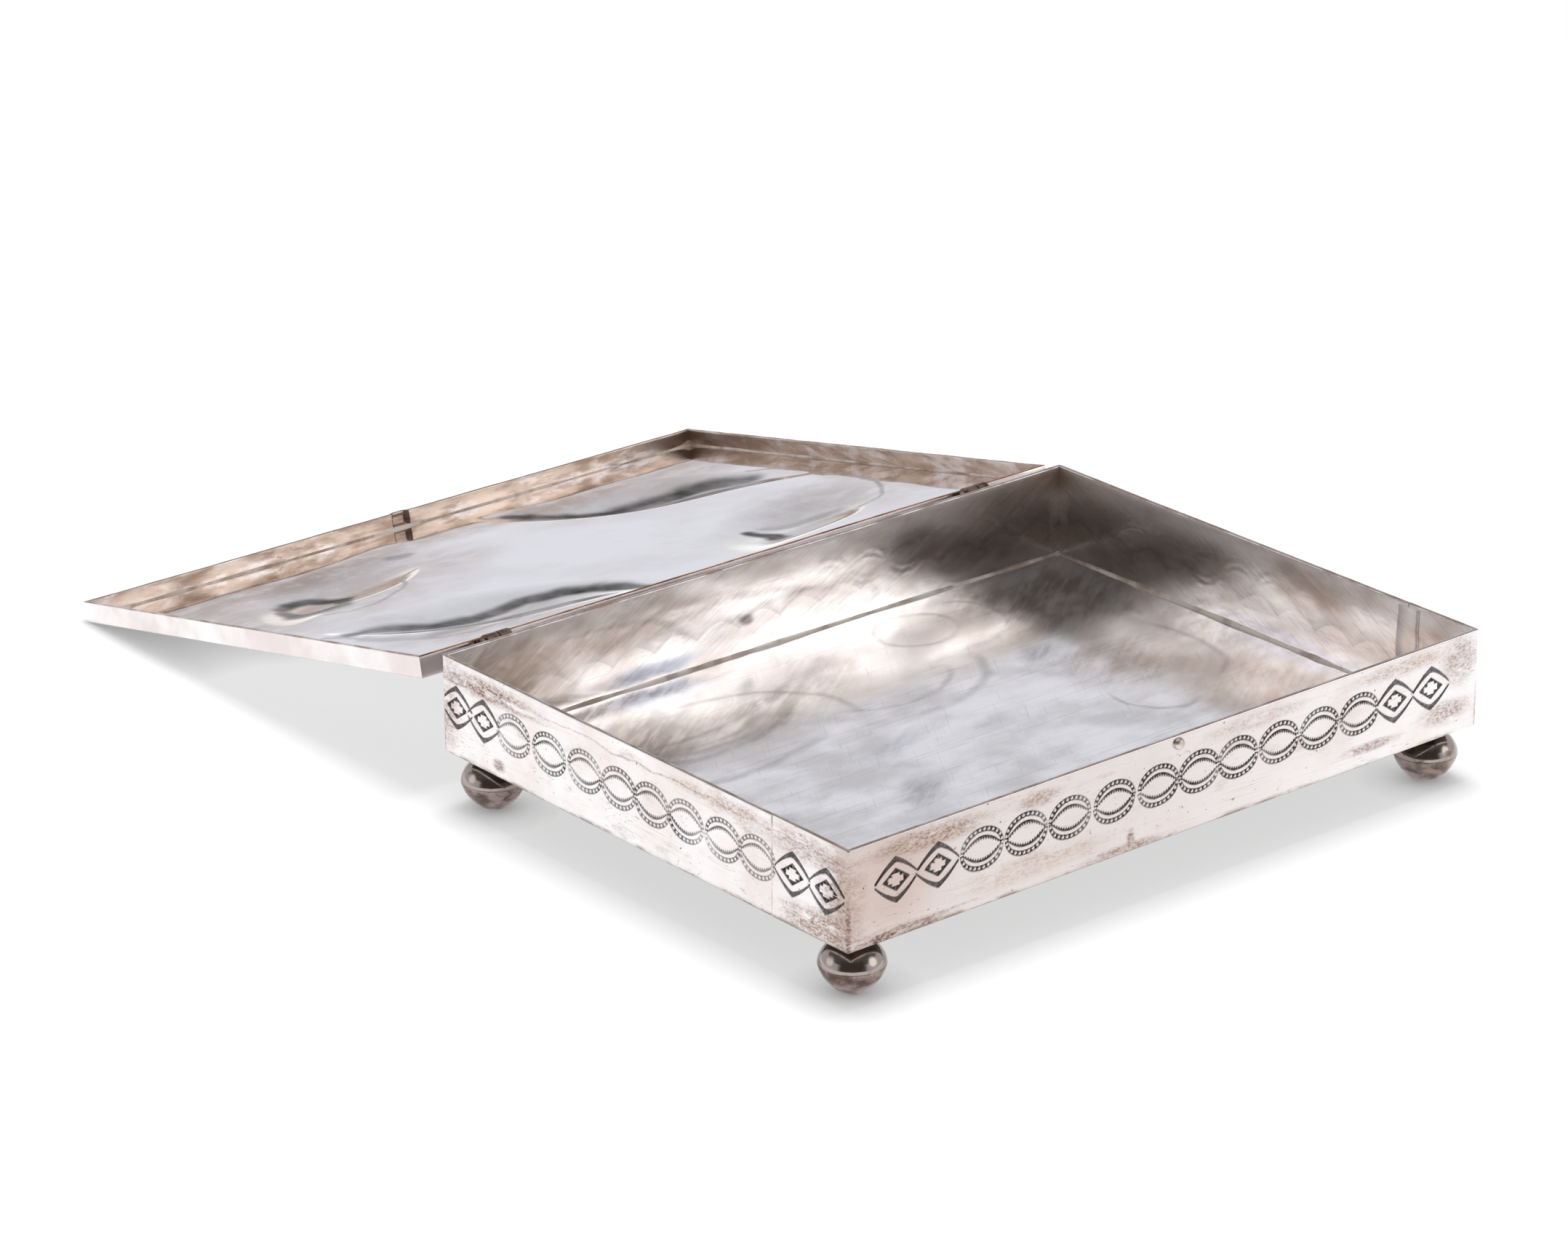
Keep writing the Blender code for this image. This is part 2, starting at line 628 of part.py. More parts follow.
def recess_bulge(x, height):
    """How far the front strip is pushed out for the catch, at x and height above its edge."""
    half = CATCH_RADIUS + RECESS_SIDE_ROOM
    side = min(1.0, max(0.0, (half + RECESS_SLOPE - abs(x)) / RECESS_SLOPE))
    middle = LID_DEPTH + LID_SEAT_GAP - CATCH_BELOW_RIM - LID_SEAT_GAP
    top = min(LID_DEPTH, middle + CATCH_RADIUS + RECESS_SLOPE)
    fall = min(1.0, max(0.0, (top - height) / RECESS_SLOPE))
    step = min(1.0, max(0.0, (height - LIP_HEIGHT / 2) / LIP_HEIGHT))
    deep = LIP_BULGE + (RECESS_BULGE - LIP_BULGE) * step
    return deep * side * fall


def rim_strip_mesh(name, half_length, rows=1, columns=(), bulge=None):
    """A straight strip along X with mitred ends, its outer face at y = 0 and inside at +Y."""
    mitre = SOLDER_GAP / math.sqrt(2)
    rings = []
    for x in (-half_length, *columns, half_length):
        ring = []
        for offset, height in rim_section(rows):
            push = bulge(x, height) if bulge else 0
            cut = (offset + mitre) if abs(x) == half_length else 0
            ring.append(Vector((x - math.copysign(cut, x), offset - push, LID_LOW_Z + height)))
        rings.append(ring)
    return ring_mesh(name, rings)


def build_lid_rim(lid):
    """Four strips round the plate, mitred at the corners."""
    long_mesh = rim_strip_mesh("lid_rim_back", LID_HALF_LENGTH)
    short_mesh = rim_strip_mesh("lid_rim_side", LID_HALF_DEPTH)
    reach = CATCH_RADIUS + RECESS_SIDE_ROOM + RECESS_SLOPE
    spread = [2 * step / RECESS_COLUMNS - 1 for step in range(RECESS_COLUMNS + 1)]
    columns = [reach * share for share in spread]
    front_mesh = rim_strip_mesh("lid_rim_front", LID_HALF_LENGTH, RECESS_ROWS, columns, recess_bulge)
    quarter = math.pi / 2
    add_object("lid_rim_front", front_mesh, "lid_rim", lid, (0, LID_FRONT_Y, 0))
    add_object("lid_rim_back", long_mesh, "lid_rim", lid, (0, LID_BACK_Y, 0), (0, 0, 2 * quarter))
    left = (-LID_HALF_LENGTH, LID_MIDDLE_Y, 0)
    right = (LID_HALF_LENGTH, LID_MIDDLE_Y, 0)
    add_object("lid_rim_left", short_mesh, "lid_rim", lid, left, (0, 0, -quarter))
    add_object("lid_rim_right", short_mesh, "lid_rim", lid, right, (0, 0, quarter))


def centre_on_table(tray):
    """Move the whole part so that the middle of its footprint is the origin."""
    bpy.context.view_layer.update()
    spots = []
    for piece in bpy.context.scene.objects:
        if piece.type == "MESH" and not piece.hide_render:
            spots += [(piece.matrix_world @ vertex.co).y for vertex in piece.data.vertices]
    tray.location.y -= (min(spots) + max(spots)) / 2
    bpy.context.view_layer.update()


def main():
    for old in list(bpy.data.objects):
        bpy.data.objects.remove(old, do_unlink=True)
    tray = add_frame("tray_frame")
    lid = add_frame("lid_axis", tray, (0, AXIS_Y, AXIS_Z), (-math.pi - open_tilt(), 0, 0))
    build_walls(tray)
    build_straps(tray)
    build_floor(tray)
    build_feet(tray)
    build_catch(tray)
    build_lid_plate(lid)
    build_lid_rim(lid)
    build_hinges(tray, lid)
    centre_on_table(tray)


main()
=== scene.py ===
import json
import math

import bpy
import numpy as np
from mathutils import Matrix, Vector


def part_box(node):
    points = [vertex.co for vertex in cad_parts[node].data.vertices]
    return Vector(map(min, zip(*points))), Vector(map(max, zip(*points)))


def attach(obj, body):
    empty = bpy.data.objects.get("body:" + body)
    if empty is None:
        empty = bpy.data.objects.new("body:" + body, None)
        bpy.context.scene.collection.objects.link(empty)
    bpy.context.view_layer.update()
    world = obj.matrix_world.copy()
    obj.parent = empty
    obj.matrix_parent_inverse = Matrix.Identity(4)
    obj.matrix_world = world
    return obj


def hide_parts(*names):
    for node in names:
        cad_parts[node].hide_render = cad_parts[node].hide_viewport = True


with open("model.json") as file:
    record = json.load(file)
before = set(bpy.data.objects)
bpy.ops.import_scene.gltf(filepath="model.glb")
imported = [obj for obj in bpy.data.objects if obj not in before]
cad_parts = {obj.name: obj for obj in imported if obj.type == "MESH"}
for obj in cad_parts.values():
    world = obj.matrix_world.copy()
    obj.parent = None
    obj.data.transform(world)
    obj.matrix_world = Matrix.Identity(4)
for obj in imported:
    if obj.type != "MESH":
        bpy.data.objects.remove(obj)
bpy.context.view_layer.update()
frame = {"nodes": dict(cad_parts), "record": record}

# Silver box, open. Every length below is in millimetres, apart from the studio's, which are in metres.
mm = 0.001


def cornerMm(node, which):  # lowest (0) or highest (1) corner of a CAD node
    return np.array(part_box(node)[which]) / mm


# Places taken from the frame, so that every piece sits where its solid is
trayLeft, trayFront, trayLow = cornerMm("front_wall", 0)
trayRight, _, trayRim = cornerMm("front_wall", 1)
trayBack = cornerMm("back_wall", 1)[1]
floorTop = cornerMm("floor_plate", 1)[2]
trayMiddle = (trayFront + trayBack) / 2
halfLength = (trayRight - trayLeft) / 2
halfDepth = (trayBack - trayFront) / 2
hinge = frame["record"]["behaviour"]["joints"][0]
axisX, axisY, axisZ = np.array(hinge["pos_m"]) / mm


# ---- small tools ----
def hexToLinear(code):  # "#rrggbb" in sRGB to the linear colour that the shader wants
    parts = [int(code[i:i + 2], 16) / 255 for i in (1, 3, 5)]
    return (*[p / 12.92 if p <= 0.04045 else ((p + 0.055) / 1.055) ** 2.4 for p in parts], 1.0)


def cosine(degrees):
    return math.cos(math.radians(degrees))


def softStep(value, width=0.11):  # 0 below -width, 1 above +width, as the slope of a stamped edge
    t = np.clip(0.5 + value / (2 * width), 0, 1)
    return t * t * (3 - 2 * t)


def smoothNoise(x, y, cell, seed):  # gentle random field from -1 to 1, same on every run
    count, away = 64, 1000  # cells before it repeats, and from its own corner to the box
    table = np.random.default_rng(seed).uniform(-1, 1, (count, count))
    gx, gy = np.asarray(x) / cell + away, np.asarray(y) / cell + away
    ix, iy = np.floor(gx).astype(int), np.floor(gy).astype(int)
    fx, fy = gx - ix, gy - iy
    fx, fy = fx * fx * (3 - 2 * fx), fy * fy * (3 - 2 * fy)

    def corner(dx, dy):
        return table[(ix + dx) % count, (iy + dy) % count]

    low = corner(0, 0) * (1 - fx) + corner(1, 0) * fx
    high = corner(0, 1) * (1 - fx) + corner(1, 1) * fx
    return low * (1 - fy) + high * fy


def noiseAbove(x, y, cell, seed):  # the same from 0 to 1
    return 0.5 + 0.5 * smoothNoise(x, y, cell, seed)


def skin(name, rings, materials, closed=False, bands=None, values=None, place=None, sharpDegrees=40.0):
    # rings[i, j] is point j of closed loop i, in millimetres. Open ends are capped.
    # bands gives a material number for each loop segment, values a darkness for each point: stamp patina on
    # the walls, patina and painted reflection on the lid.
    rings = np.asarray(rings, float)
    count, around = rings.shape[:2]
    points = rings.reshape(-1, 3) * mm
    if place is not None:
        matrix = np.array(place)
        points = points @ matrix[:3, :3].T + matrix[:3, 3]
    rows = np.arange(count if closed else count - 1)
    i, j = np.meshgrid(rows, np.arange(around), indexing="ij")
    nextI, nextJ = (i + 1) % count, (j + 1) % around
    corners = (i * around + j, nextI * around + j, nextI * around + nextJ, i * around + nextJ)
    quads = np.stack(corners, -1).reshape(-1, 4)
    local = points - points.mean(0)
    a, b, c, d = (local[quads[:, k]] for k in range(4))
    volume = np.sum(a * np.cross(b, c)) + np.sum(a * np.cross(c, d))
    caps = [] if closed else [np.arange(around), np.arange(around)[::-1] + (count - 1) * around]
    for cap in caps:
        ring = local[cap]
        volume += np.sum(ring.mean(0) * np.cross(ring, np.roll(ring, -1, 0)))
    if volume < 0:  # the faces look inwards, so they are turned round
        quads, caps = quads[:, ::-1], [cap[::-1] for cap in caps]
    mesh = bpy.data.meshes.new(name)
    for material in materials:
        mesh.materials.append(material)
    mesh.vertices.add(len(points))
    mesh.vertices.foreach_set("co", points.ravel())
    loops = np.concatenate([quads.ravel(), *caps]).astype(np.int32)
    sizes = np.concatenate([np.full(len(quads), 4), [len(cap) for cap in caps]]).astype(np.int32)
    mesh.loops.add(len(loops))
    mesh.loops.foreach_set("vertex_index", loops)
    mesh.polygons.add(len(sizes))
    mesh.polygons.foreach_set("loop_start", np.concatenate([[0], np.cumsum(sizes)[:-1]]).astype(np.int32))
    if bands is not None:
        numbers = np.concatenate([np.tile(bands, len(rows)), [bands[0]] * len(caps)])
        mesh.polygons.foreach_set("material_index", numbers.astype(np.int32))
    mesh.update(calc_edges=True)
    mesh.validate()
    mesh.shade_smooth()
    mesh.set_sharp_from_angle(angle=math.radians(sharpDegrees))
    if values is not None:
        layer = mesh.attributes.new("patinaAndPaintedReflection", "FLOAT", "POINT")
        layer.data.foreach_set("value", np.asarray(values, np.float32).ravel())
    return mesh


def put(name, data):  # a new object in the scene
    thing = bpy.data.objects.new(name, data)
    bpy.context.collection.objects.link(thing)
    return thing


def addPiece(name, rings, materials, body, slot, nodes=(), **form):  # a piece and the solids it replaces
    piece = put(name, skin(name, rings, materials, **form))
    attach(piece, body)
    if nodes:
        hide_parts(*nodes)


# ---- node helpers ----
def addNode(tree, kind, inputs=None, out=0, **settings):  # a node and what feeds it; gives an output, or all
    node = tree.nodes.new("ShaderNode" + kind)
    for key, value in settings.items():
        setattr(node, key, value)
    for key, value in (inputs or {}).items():
        if isinstance(value, bpy.types.NodeSocket):
            tree.links.new(value, node.inputs[key])
        else:
            node.inputs[key].default_value = value
    return node.outputs if out is None else node.outputs[out]


def times(tree, *masks):  # their product
    product = masks[0]
    for mask in masks[1:]:
        product = addNode(tree, "Math", {0: product, 1: mask}, operation="MULTIPLY")
    return product


def tint(tree, under, over, *masks):  # lays a colour over what is there, as far as all the masks let it
    base, top = (hexToLinear(colour) if isinstance(colour, str) else colour for colour in (under, over))
    return addNode(tree, "Mix", {0: times(tree, *masks), 6: base, 7: top}, 2, data_type="RGBA")


def between(tree, value, low, high):  # squeezes 0 to 1 into low to high
    return addNode(tree, "MapRange", {"Value": value, "To Min": low, "To Max": high})


def fade(tree, value, start, end):  # eases from 0 at start to 1 at end
    return addNode(tree, "MapRange", {
        "Value": value, "From Min": start, "From Max": end}, interpolation_type="SMOOTHSTEP")


def apart(tree, first, second):  # how far two values are from each other
    gap = addNode(tree, "Math", {0: first, 1: second}, operation="SUBTRACT")
    return addNode(tree, "Math", {0: gap}, operation="ABSOLUTE")


def patches(tree, coords, size, low, high, detail=4.0, number=0.0, turn=(0, 0, 0), warp=0.0):
    # blotches of a real size in mm, 0 to 1. size is one number or one for each axis, and number moves the
    # field, so that no two are alike
    sizes = [size] * 3 if np.isscalar(size) else size
    at = addNode(tree, "Mapping", {
        "Vector": coords, "Scale": [s * mm for s in sizes], "Location": [number * 0.037] * 3,
        "Rotation": turn}, vector_type="TEXTURE")
    field = addNode(tree, "TexNoise", {
        "Vector": at, "Scale": 1.0, "Detail": detail, "Roughness": 0.58, "Distortion": warp})
    return fade(tree, field, low, high)


def placed(tree, coords, spot, size, turn=0.0):  # coordinates from a middle, 1 at its half sizes in mm
    return addNode(tree, "Mapping", {
        "Vector": coords, "Location": [v * mm for v in spot], "Scale": [v * mm for v in size],
        "Rotation": (0, 0, math.radians(turn))}, vector_type="TEXTURE")


def blob(tree, coords, spot, size, turn=0.0):  # soft-edged place
    at = placed(tree, coords, spot, size, turn)
    return fade(tree, addNode(tree, "VectorMath", {0: at}, "Value", operation="LENGTH"), 1.3, 0.35)


def arcLine(tree, coords, spot, size, width, facing, spread):
    # part of a thin round wiping mark: its middle, radii and width, which way it lies from there, and how far
    at = placed(tree, coords, spot, size)
    away = addNode(tree, "VectorMath", {0: at}, "Value", operation="LENGTH")
    along = addNode(tree, "VectorMath", {0: at, 1: facing}, "Value", operation="DOT_PRODUCT")
    part = fade(tree, along, cosine(spread), cosine(spread * 0.55))
    return times(tree, fade(tree, apart(tree, away, 1.0), width / min(size), 0.0), part)


def wander(tree, coords, size, reach):  # coordinates shifted by a slow field, so that edges wander
    at = addNode(tree, "Mapping", {"Vector": coords, "Scale": [1 / (size * mm)] * 3})
    field = addNode(tree, "TexNoise", {"Vector": at, "Scale": 1.0, "Detail": 4.0}, "Color")
    push = addNode(tree, "VectorMath", {0: field, 1: (0.5, 0.5, 0.5)}, operation="SUBTRACT")
    push = addNode(tree, "VectorMath", {0: push, 3: 2 * reach * mm}, operation="SCALE")
    return addNode(tree, "VectorMath", {0: coords, 1: push}, operation="ADD")


def heightBand(tree, coords, start, end):  # 0 at height start, 1 at height end, in mm above the table
    return fade(tree, addNode(tree, "SeparateXYZ", {0: coords}, 2), start * mm, end * mm)


def tideLine(tree, coords, height, wobble, width, cell=11):  # thin wavy level line, as firescale stops at
    at = addNode(tree, "Mapping", {"Vector": coords, "Scale": [1 / (cell * mm)] * 3})
    field = addNode(tree, "TexNoise", {"Vector": at, "Scale": 1.0, "Detail": 5.0})
    level = addNode(tree, "MapRange", {
        "Value": field, "From Min": 0.3, "From Max": 0.7, "To Min": (height - wobble) * mm,
        "To Max": (height + wobble) * mm})
    return fade(tree, apart(tree, addNode(tree, "SeparateXYZ", {0: coords}, 2), level), width * mm, 0.0)


def scallops(tree, coords, look):  # a row of soft arches along the walls, the backs of the stamps outside
    x, y, z = addNode(tree, "SeparateXYZ", {0: coords}, None)
    along = addNode(tree, "Math", {0: x, 1: y}, operation="ADD")
    turn = times(tree, along, math.pi / (look["scallopPitch"] * mm))
    arch = apart(tree, addNode(tree, "Math", {0: turn}, operation="SINE"), 0.0)
    base = floorTop + look["scallopBase"]
    edge = between(tree, arch, base * mm, (base + look["scallopRise"]) * mm)
    past = addNode(tree, "Math", {0: z, 1: edge}, operation="SUBTRACT")
    rise, fall = (addNode(tree, "MapRange", {"Value": past, "From Min": start * mm, "From Max": 0.1 * mm})
                  for start in (-0.4, look["scallopFade"]))
    return times(tree, rise, fall)


def laidOn(tree, coords, colour, places, grain=1.0):
    # tarnish in given places: (middle, half sizes, turn, colour, amount)
    for spot, size, turn, code, amount in places:
        colour = tint(tree, colour, code, blob(tree, coords, spot, size, turn), grain, amount)
    return colour


def wiped(tree, coords, colour, arcs, look, grain):  # round wiping marks, each with the values of arcLine()
    for arc in arcs:
        colour = tint(tree, colour, look["mark"], arcLine(tree, coords, *arc), grain, look["arcAmount"])
    return colour


def marked(tree, coords, colour, *marks):  # marks all over, each a field, its colour and its amount
    for field, code, amount in marks:
        colour = tint(tree, colour, code, patches(tree, coords, *field), amount)
    return colour


def newMetal(name, look, origin=None):  # a metal with nothing on it yet, and what its fields are made with
    material = bpy.data.materials.new(name)
    material.use_nodes = True
    tree = material.node_tree
    tree.nodes["Principled BSDF"].inputs["Metallic"].default_value = look.get("metal", 1.0)
    coords = addNode(tree, "TexCoord", out="Object")
    if origin:
        coords = addNode(tree, "VectorMath", {0: coords, 1: [-v * mm for v in origin]}, operation="ADD")

    def field(key):  # the look's own field of that name
        return patches(tree, coords, *look[key])

    return material, tree, coords, field


def coated(material, field, look, colour, rough):  # gives the shader its colour, roughness and fine relief
    tree = material.node_tree
    height = field("ripple")
    if "scratch" in look:
        scratch = times(tree, field("scratch"), look["scratchDepth"])
        height = addNode(tree, "Math", {0: scratch, 1: height}, operation="ADD")
    strength, distance = look["bump"]
    bump = addNode(tree, "Bump", {"Height": height, "Strength": strength, "Distance": distance * mm})
    for socket, name in ((colour, "Base Color"), (rough, "Roughness"), (bump, "Normal")):
        tree.links.new(socket, tree.nodes["Principled BSDF"].inputs[name])
    return material


def patinaAndReflectionOf(tree):  # the darkness that skin() was given for each point
    return addNode(tree, "Attribute", None, "Fac", attribute_name="patinaAndPaintedReflection")


def onWalls(sides, low, deep):
    # places on the walls. Each side has rows of (along it, height, half length, half height, colour, amount)
    faces = {"front": trayFront, "back": trayBack, "left": trayLeft, "right": trayRight}
    places = []
    for side, rows in sides.items():
        for along, height, wide, tall, code, amount in rows:
            spot, size = (along, faces[side], low + height), (wide, deep, tall)
            if side in ("left", "right"):
                spot, size = (spot[1], spot[0], spot[2]), (deep, wide, tall)
            places.append((spot, size, 0, code, amount))
    return places


# ---- materials ----
# In a look, a field of blotches is (size in mm, from, to, detail, number, turn, warp) for patches(), a mark
# is (field, colour, amount), roughness goes from the clean sheet to its clouds, and bump is (strength, mm).
# Names that end in Least say how much is left of a mark where a field that breaks it up is at its lowest

# Sterling silver rolled sheet, stamped by hand, blackened in the stamps and rubbed bright again:
# a warm pinkish white with brown rub marks, specks and fine wiping lines
outsideLook = {
    "clean": "#F3F0F1", "warm": "#EBE2DE", "rub": "#A08270", "streak": "#6E5042", "edge": "#7E6050",
    "black": "#2E2827", "roughness": (0.20, 0.30), "blackRoughness": 0.5,
    "grainLeast": 0.42, "mottleLeast": 0.82,
    "rubAmount": 0.55, "dashAmount": 0.55, "tideAmount": 0.55, "grimeAmount": 0.8, "foldAmount": 0.9,
    "cloud": (19, 0.40, 0.70, 8.0), "grain": ((0.8, 0.8, 0.4), 0.42, 0.60, 6.0, 1.0),
    "breaks": ((6, 6, 2.4), 0.30, 0.52, 9.0, 9.0), "rubs": ((13, 13, 5), 0.56, 0.76, 9.0, 3.0),
    "dashed": ((13, 13, 6), 0.50, 0.66, 3.0, 4.0), "dashes": ((2.2, 2.2, 0.30), 0.60, 0.70, 3.0, 8.0),
    "hairs": (((16, 16, 0.16), 0.58, 0.70, 2.0, 12.0, (0.03, 0.04, 0)), "#A08270", 0.22),
    "specks": ((1.1, 0.70, 0.77, 2.0, 7.0), "#54423A", 0.8),
    "grime": ((9, 9, 3), 0.46, 0.62, 8.0, 11.0), "mottle": (0.8, 0.30, 0.62, 3.0, 5.0),
    "scratch": ((5, 5, 0.2), 0.3, 0.7, 2.0, 2.0), "scratchDepth": 0.10,
    "ripple": (5.5, 0.0, 1.0, 1.0), "bump": (0.35, 0.05),
}
# Heights here are above the walls' lower edge. The first place is painted shade, a darker cast over the whole
# front wall; the second is a thin film by its left corner, the rest are rub marks
outsidePlaces = onWalls({
    "front": [
        (-58, 11, 120, 40, "#D9D0CD", 0.9), (-80, 13, 17, 14, "#BFA89C", 0.6),
        (-68, 19.4, 17, 2.6, "#8D6B57", 0.9), (-39, 19.4, 7, 2.0, "#8D6B57", 0.7),
        (-78, 0.6, 16, 2.2, "#6A4B3B", 1.0), (-42, 5.0, 22, 3.0, "#B69A88", 0.5),
        (-13, 3.4, 1.2, 1.9, "#7E5A48", 0.9), (-15, 0.8, 12, 1.6, "#8D6B57", 0.8),
        (57, 4.2, 9, 1.3, "#86695B", 0.8), (80, 6.0, 8, 3.0, "#97796A", 0.8), (84, 17, 6, 6, "#8F7062", 0.7),
        (22, 19.8, 16, 2.0, "#B39A8B", 0.6), (66, 20, 16, 2.0, "#A88B79", 0.7)],
    "left": [
        (trayFront + 9, 3, 13, 4, "#8F7262", 0.9), (trayFront + 4, 12, 6, 11, "#8F7262", 0.8),
        (trayFront + 14, 18.6, 13, 3.4, "#A0837A", 0.8), (trayFront + 40, 19.8, 16, 2.0, "#B59D8E", 0.8),
        (trayBack - 16, 18.9, 20, 2.6, "#86695A", 1.0), (trayBack - 2, 9, 4, 9, "#A58D80", 0.8),
        (trayBack - 20, 3.0, 2.4, 1.5, "#6E5042", 0.9)],
    "right": [(trayMiddle + 20, 18, 26, 3, "#A98872", 0.8), (trayMiddle - 30, 3, 20, 3, "#9D7C69", 0.7)],
    "back": [(-30, 19, 24, 3, "#A98872", 0.8), (45, 3, 20, 3, "#9D7C69", 0.8)],
}, trayLow, 6)
outsideTides = [  # height, wobble and width of a line, then the middle and half sizes of where it shows
    (18.0, 1.0, 0.5, (trayLeft, trayBack - 14, trayLow + 18), (6, 26, 6)),
    (19.4, 0.8, 0.4, (trayLeft, trayFront + 50, trayLow + 19), (6, 60, 6)),
    (1.6, 0.9, 0.5, (-76, trayFront, trayLow + 2), (22, 6, 6)),
]


def rubbedStampedSilver():
    look = outsideLook
    material, tree, coords, field = newMetal("sterlingSilverStampedAndRubbed", look)
    cloud, grain = field("cloud"), between(tree, field("grain"), look["grainLeast"], 1.0)
    # the first of these two places is painted shade over the front wall
    colour = laidOn(tree, coords, tint(tree, look["clean"], look["warm"], cloud), outsidePlaces[:2])
    colour = laidOn(tree, coords, colour, outsidePlaces[2:], times(tree, field("breaks"), grain))
    colour = tint(tree, colour, look["rub"], field("rubs"), grain, look["rubAmount"])
    colour = tint(tree, colour, look["streak"], field("dashed"), field("dashes"), look["dashAmount"])
    colour = marked(tree, coords, colour, look["hairs"], look["specks"])
    for height, wobble, width, spot, size in outsideTides:
        line = tideLine(tree, coords, trayLow + height, wobble, width)
        here = blob(tree, coords, spot, size)
        colour = tint(tree, colour, look["edge"], line, here, grain, look["tideAmount"])
    lowEdge = heightBand(tree, coords, trayLow + 1.4, trayLow + 0.1)
    colour = tint(tree, colour, look["edge"], lowEdge, field("grime"), look["grimeAmount"])
    folds = [((x, y, trayLow + 4), (1.0, 1.0, 9), 0, look["streak"], look["foldAmount"])
             for x in (trayLeft, trayRight) for y in (trayFront, trayBack)]
    colour = laidOn(tree, coords, colour, folds, grain)
    black = times(tree, patinaAndReflectionOf(tree), between(tree, field("mottle"), look["mottleLeast"], 1.0))
    dull = between(tree, cloud, *look["roughness"])
    rough = addNode(tree, "Mix", {0: black, 2: dull, 3: look["blackRoughness"]}, data_type="FLOAT")
    return coated(material, field, look, tint(tree, colour, look["black"], black), rough)


# The same sheet inside, wiped but not polished: brown at the ends, blue low down, with wiping marks, and a
# painted highlight, a pale lilac sheen low on the right wall
wipeTurn = (0.45, -0.5, 0)  # wiping strokes climb the walls
insideLook = {
    "clean": "#F3EEEC", "warm": "#E5DAD3", "mark": "#6E6663", "arcAmount": 0.36, "metal": 0.90,
    "roughness": (0.13, 0.25), "wornRoughness": 0.26, "wander": (9, 2.5), "arcWander": (14, 2.0),
    "wispsLeast": 0.65, "strokesLeast": 0.9, "backsLeast": 0.4, "arcsLeast": 0.5,
    "cloud": ((22, 22, 9), 0.36, 0.66, 8.0), "wisps": ((12, 12, 4), 0.30, 0.60, 9.0, 2.0, wipeTurn, 0.6),
    "strokes": ((9, 9, 0.9), 0.40, 0.64, 4.0, 5.0, wipeTurn),
    "brown": (((15, 15, 7), 0.50, 0.74, 9.0, 4.0), "#A08C7C", 0.32),
    "fineStrokes": (((8, 8, 0.25), 0.55, 0.68, 2.0, 7.0, wipeTurn), "#6E6663", 0.22),
    "levelStrokes": (((14, 14, 0.3), 0.58, 0.72, 2.0, 9.0), "#6E6663", 0.16),
    "scallopPitch": 12.0, "scallopRise": 3.0, "scallopBase": 6.5, "scallopFade": 3.2, "scallopAmount": 0.28,
    "scratch": ((6, 6, 0.3), 0.3, 0.7, 2.0, 3.0, wipeTurn), "scratchDepth": 0.05,
    "ripple": ((9, 9, 5), 0.0, 1.0, 1.0), "bump": (0.32, 0.08),
}
insidePlaces = onWalls({  # heights here are above the tray's floor
    "back": [
        (-84, 10, 30, 20, "#8F7C6D", 1.0), (-50, 15, 32, 6, "#A39489", 0.8),
        (-32, 3.2, 15, 2.4, "#98A2B5", 0.8), (-6, 7.6, 2.6, 1.6, "#5F5A58", 0.9),
        (12, 17, 30, 3, "#C9BDB5", 0.6), (68, 7, 24, 8, "#A79B92", 0.85), (44, 12, 10, 7, "#8C8480", 0.7),
        (80, 19, 22, 5, "#B39F8D", 0.7)],
    "right": [
        (trayBack - 20, 7, 25, 9, "#A79B92", 0.8), (trayBack - 48, 12, 18, 7, "#A99A91", 0.7),
        (trayMiddle - 16, 15, 16, 6, "#A18D7E", 0.7), (trayFront + 12, 12, 10, 10, "#B39C8B", 0.7),
        # painted highlight: a pale lilac sheen low along the middle of the right wall
        (trayMiddle - 10, 1.5, 26, 2.2, "#E4E0EA", 0.8)],
}, floorTop, 9)
insideArcs = [  # middle, radii, width, facing, spread
    ((-22, 0, floorTop - 14), (44, 900, 30), 1.6, (-0.3, 0, 1), 44),
    ((-10, 0, floorTop - 22), (52, 900, 36), 1.4, (0.1, 0, 1), 36),
    ((6, 0, floorTop + 1), (26, 900, 10), 1.2, (-0.2, 0, 1), 40),
    ((-50, 0, floorTop + 2), (30, 900, 15), 1.2, (0.5, 0, 1), 40),
]


def cloudyInsideSilver():
    look = insideLook
    material, tree, coords, field = newMetal("sterlingSilverTarnishedInside", look)
    cloud, wisps, strokes = field("cloud"), field("wisps"), field("strokes")
    broken = times(tree, between(tree, wisps, look["wispsLeast"], 1.0),
                   between(tree, strokes, look["strokesLeast"], 1.0))
    colour = tint(tree, look["clean"], look["warm"], cloud)
    colour = laidOn(tree, wander(tree, coords, *look["wander"]), colour, insidePlaces, broken)
    colour = marked(tree, coords, colour, look["brown"])
    backs = times(tree, scallops(tree, coords, look), between(tree, wisps, look["backsLeast"], 1.0))
    colour = tint(tree, colour, look["mark"], backs, look["scallopAmount"])
    softly = wander(tree, coords, *look["arcWander"])
    colour = wiped(tree, softly, colour, insideArcs, look, between(tree, strokes, look["arcsLeast"], 1.0))
    colour = marked(tree, coords, colour, look["fineStrokes"], look["levelStrokes"])
    rim = heightBand(tree, softly, trayRim - 9, trayRim - 1)
    corner = blob(tree, coords, (trayRight - 1, trayBack - 1, floorTop + 12), (3.2, 3.2, 16))
    worn = addNode(tree, "Math", {0: rim, 1: corner}, operation="MAXIMUM")
    dull = between(tree, cloud, *look["roughness"])
    rough = addNode(tree, "Math", {0: times(tree, worn, look["wornRoughness"]), 1: dull}, operation="ADD")
    return coated(material, field, look, colour, rough)


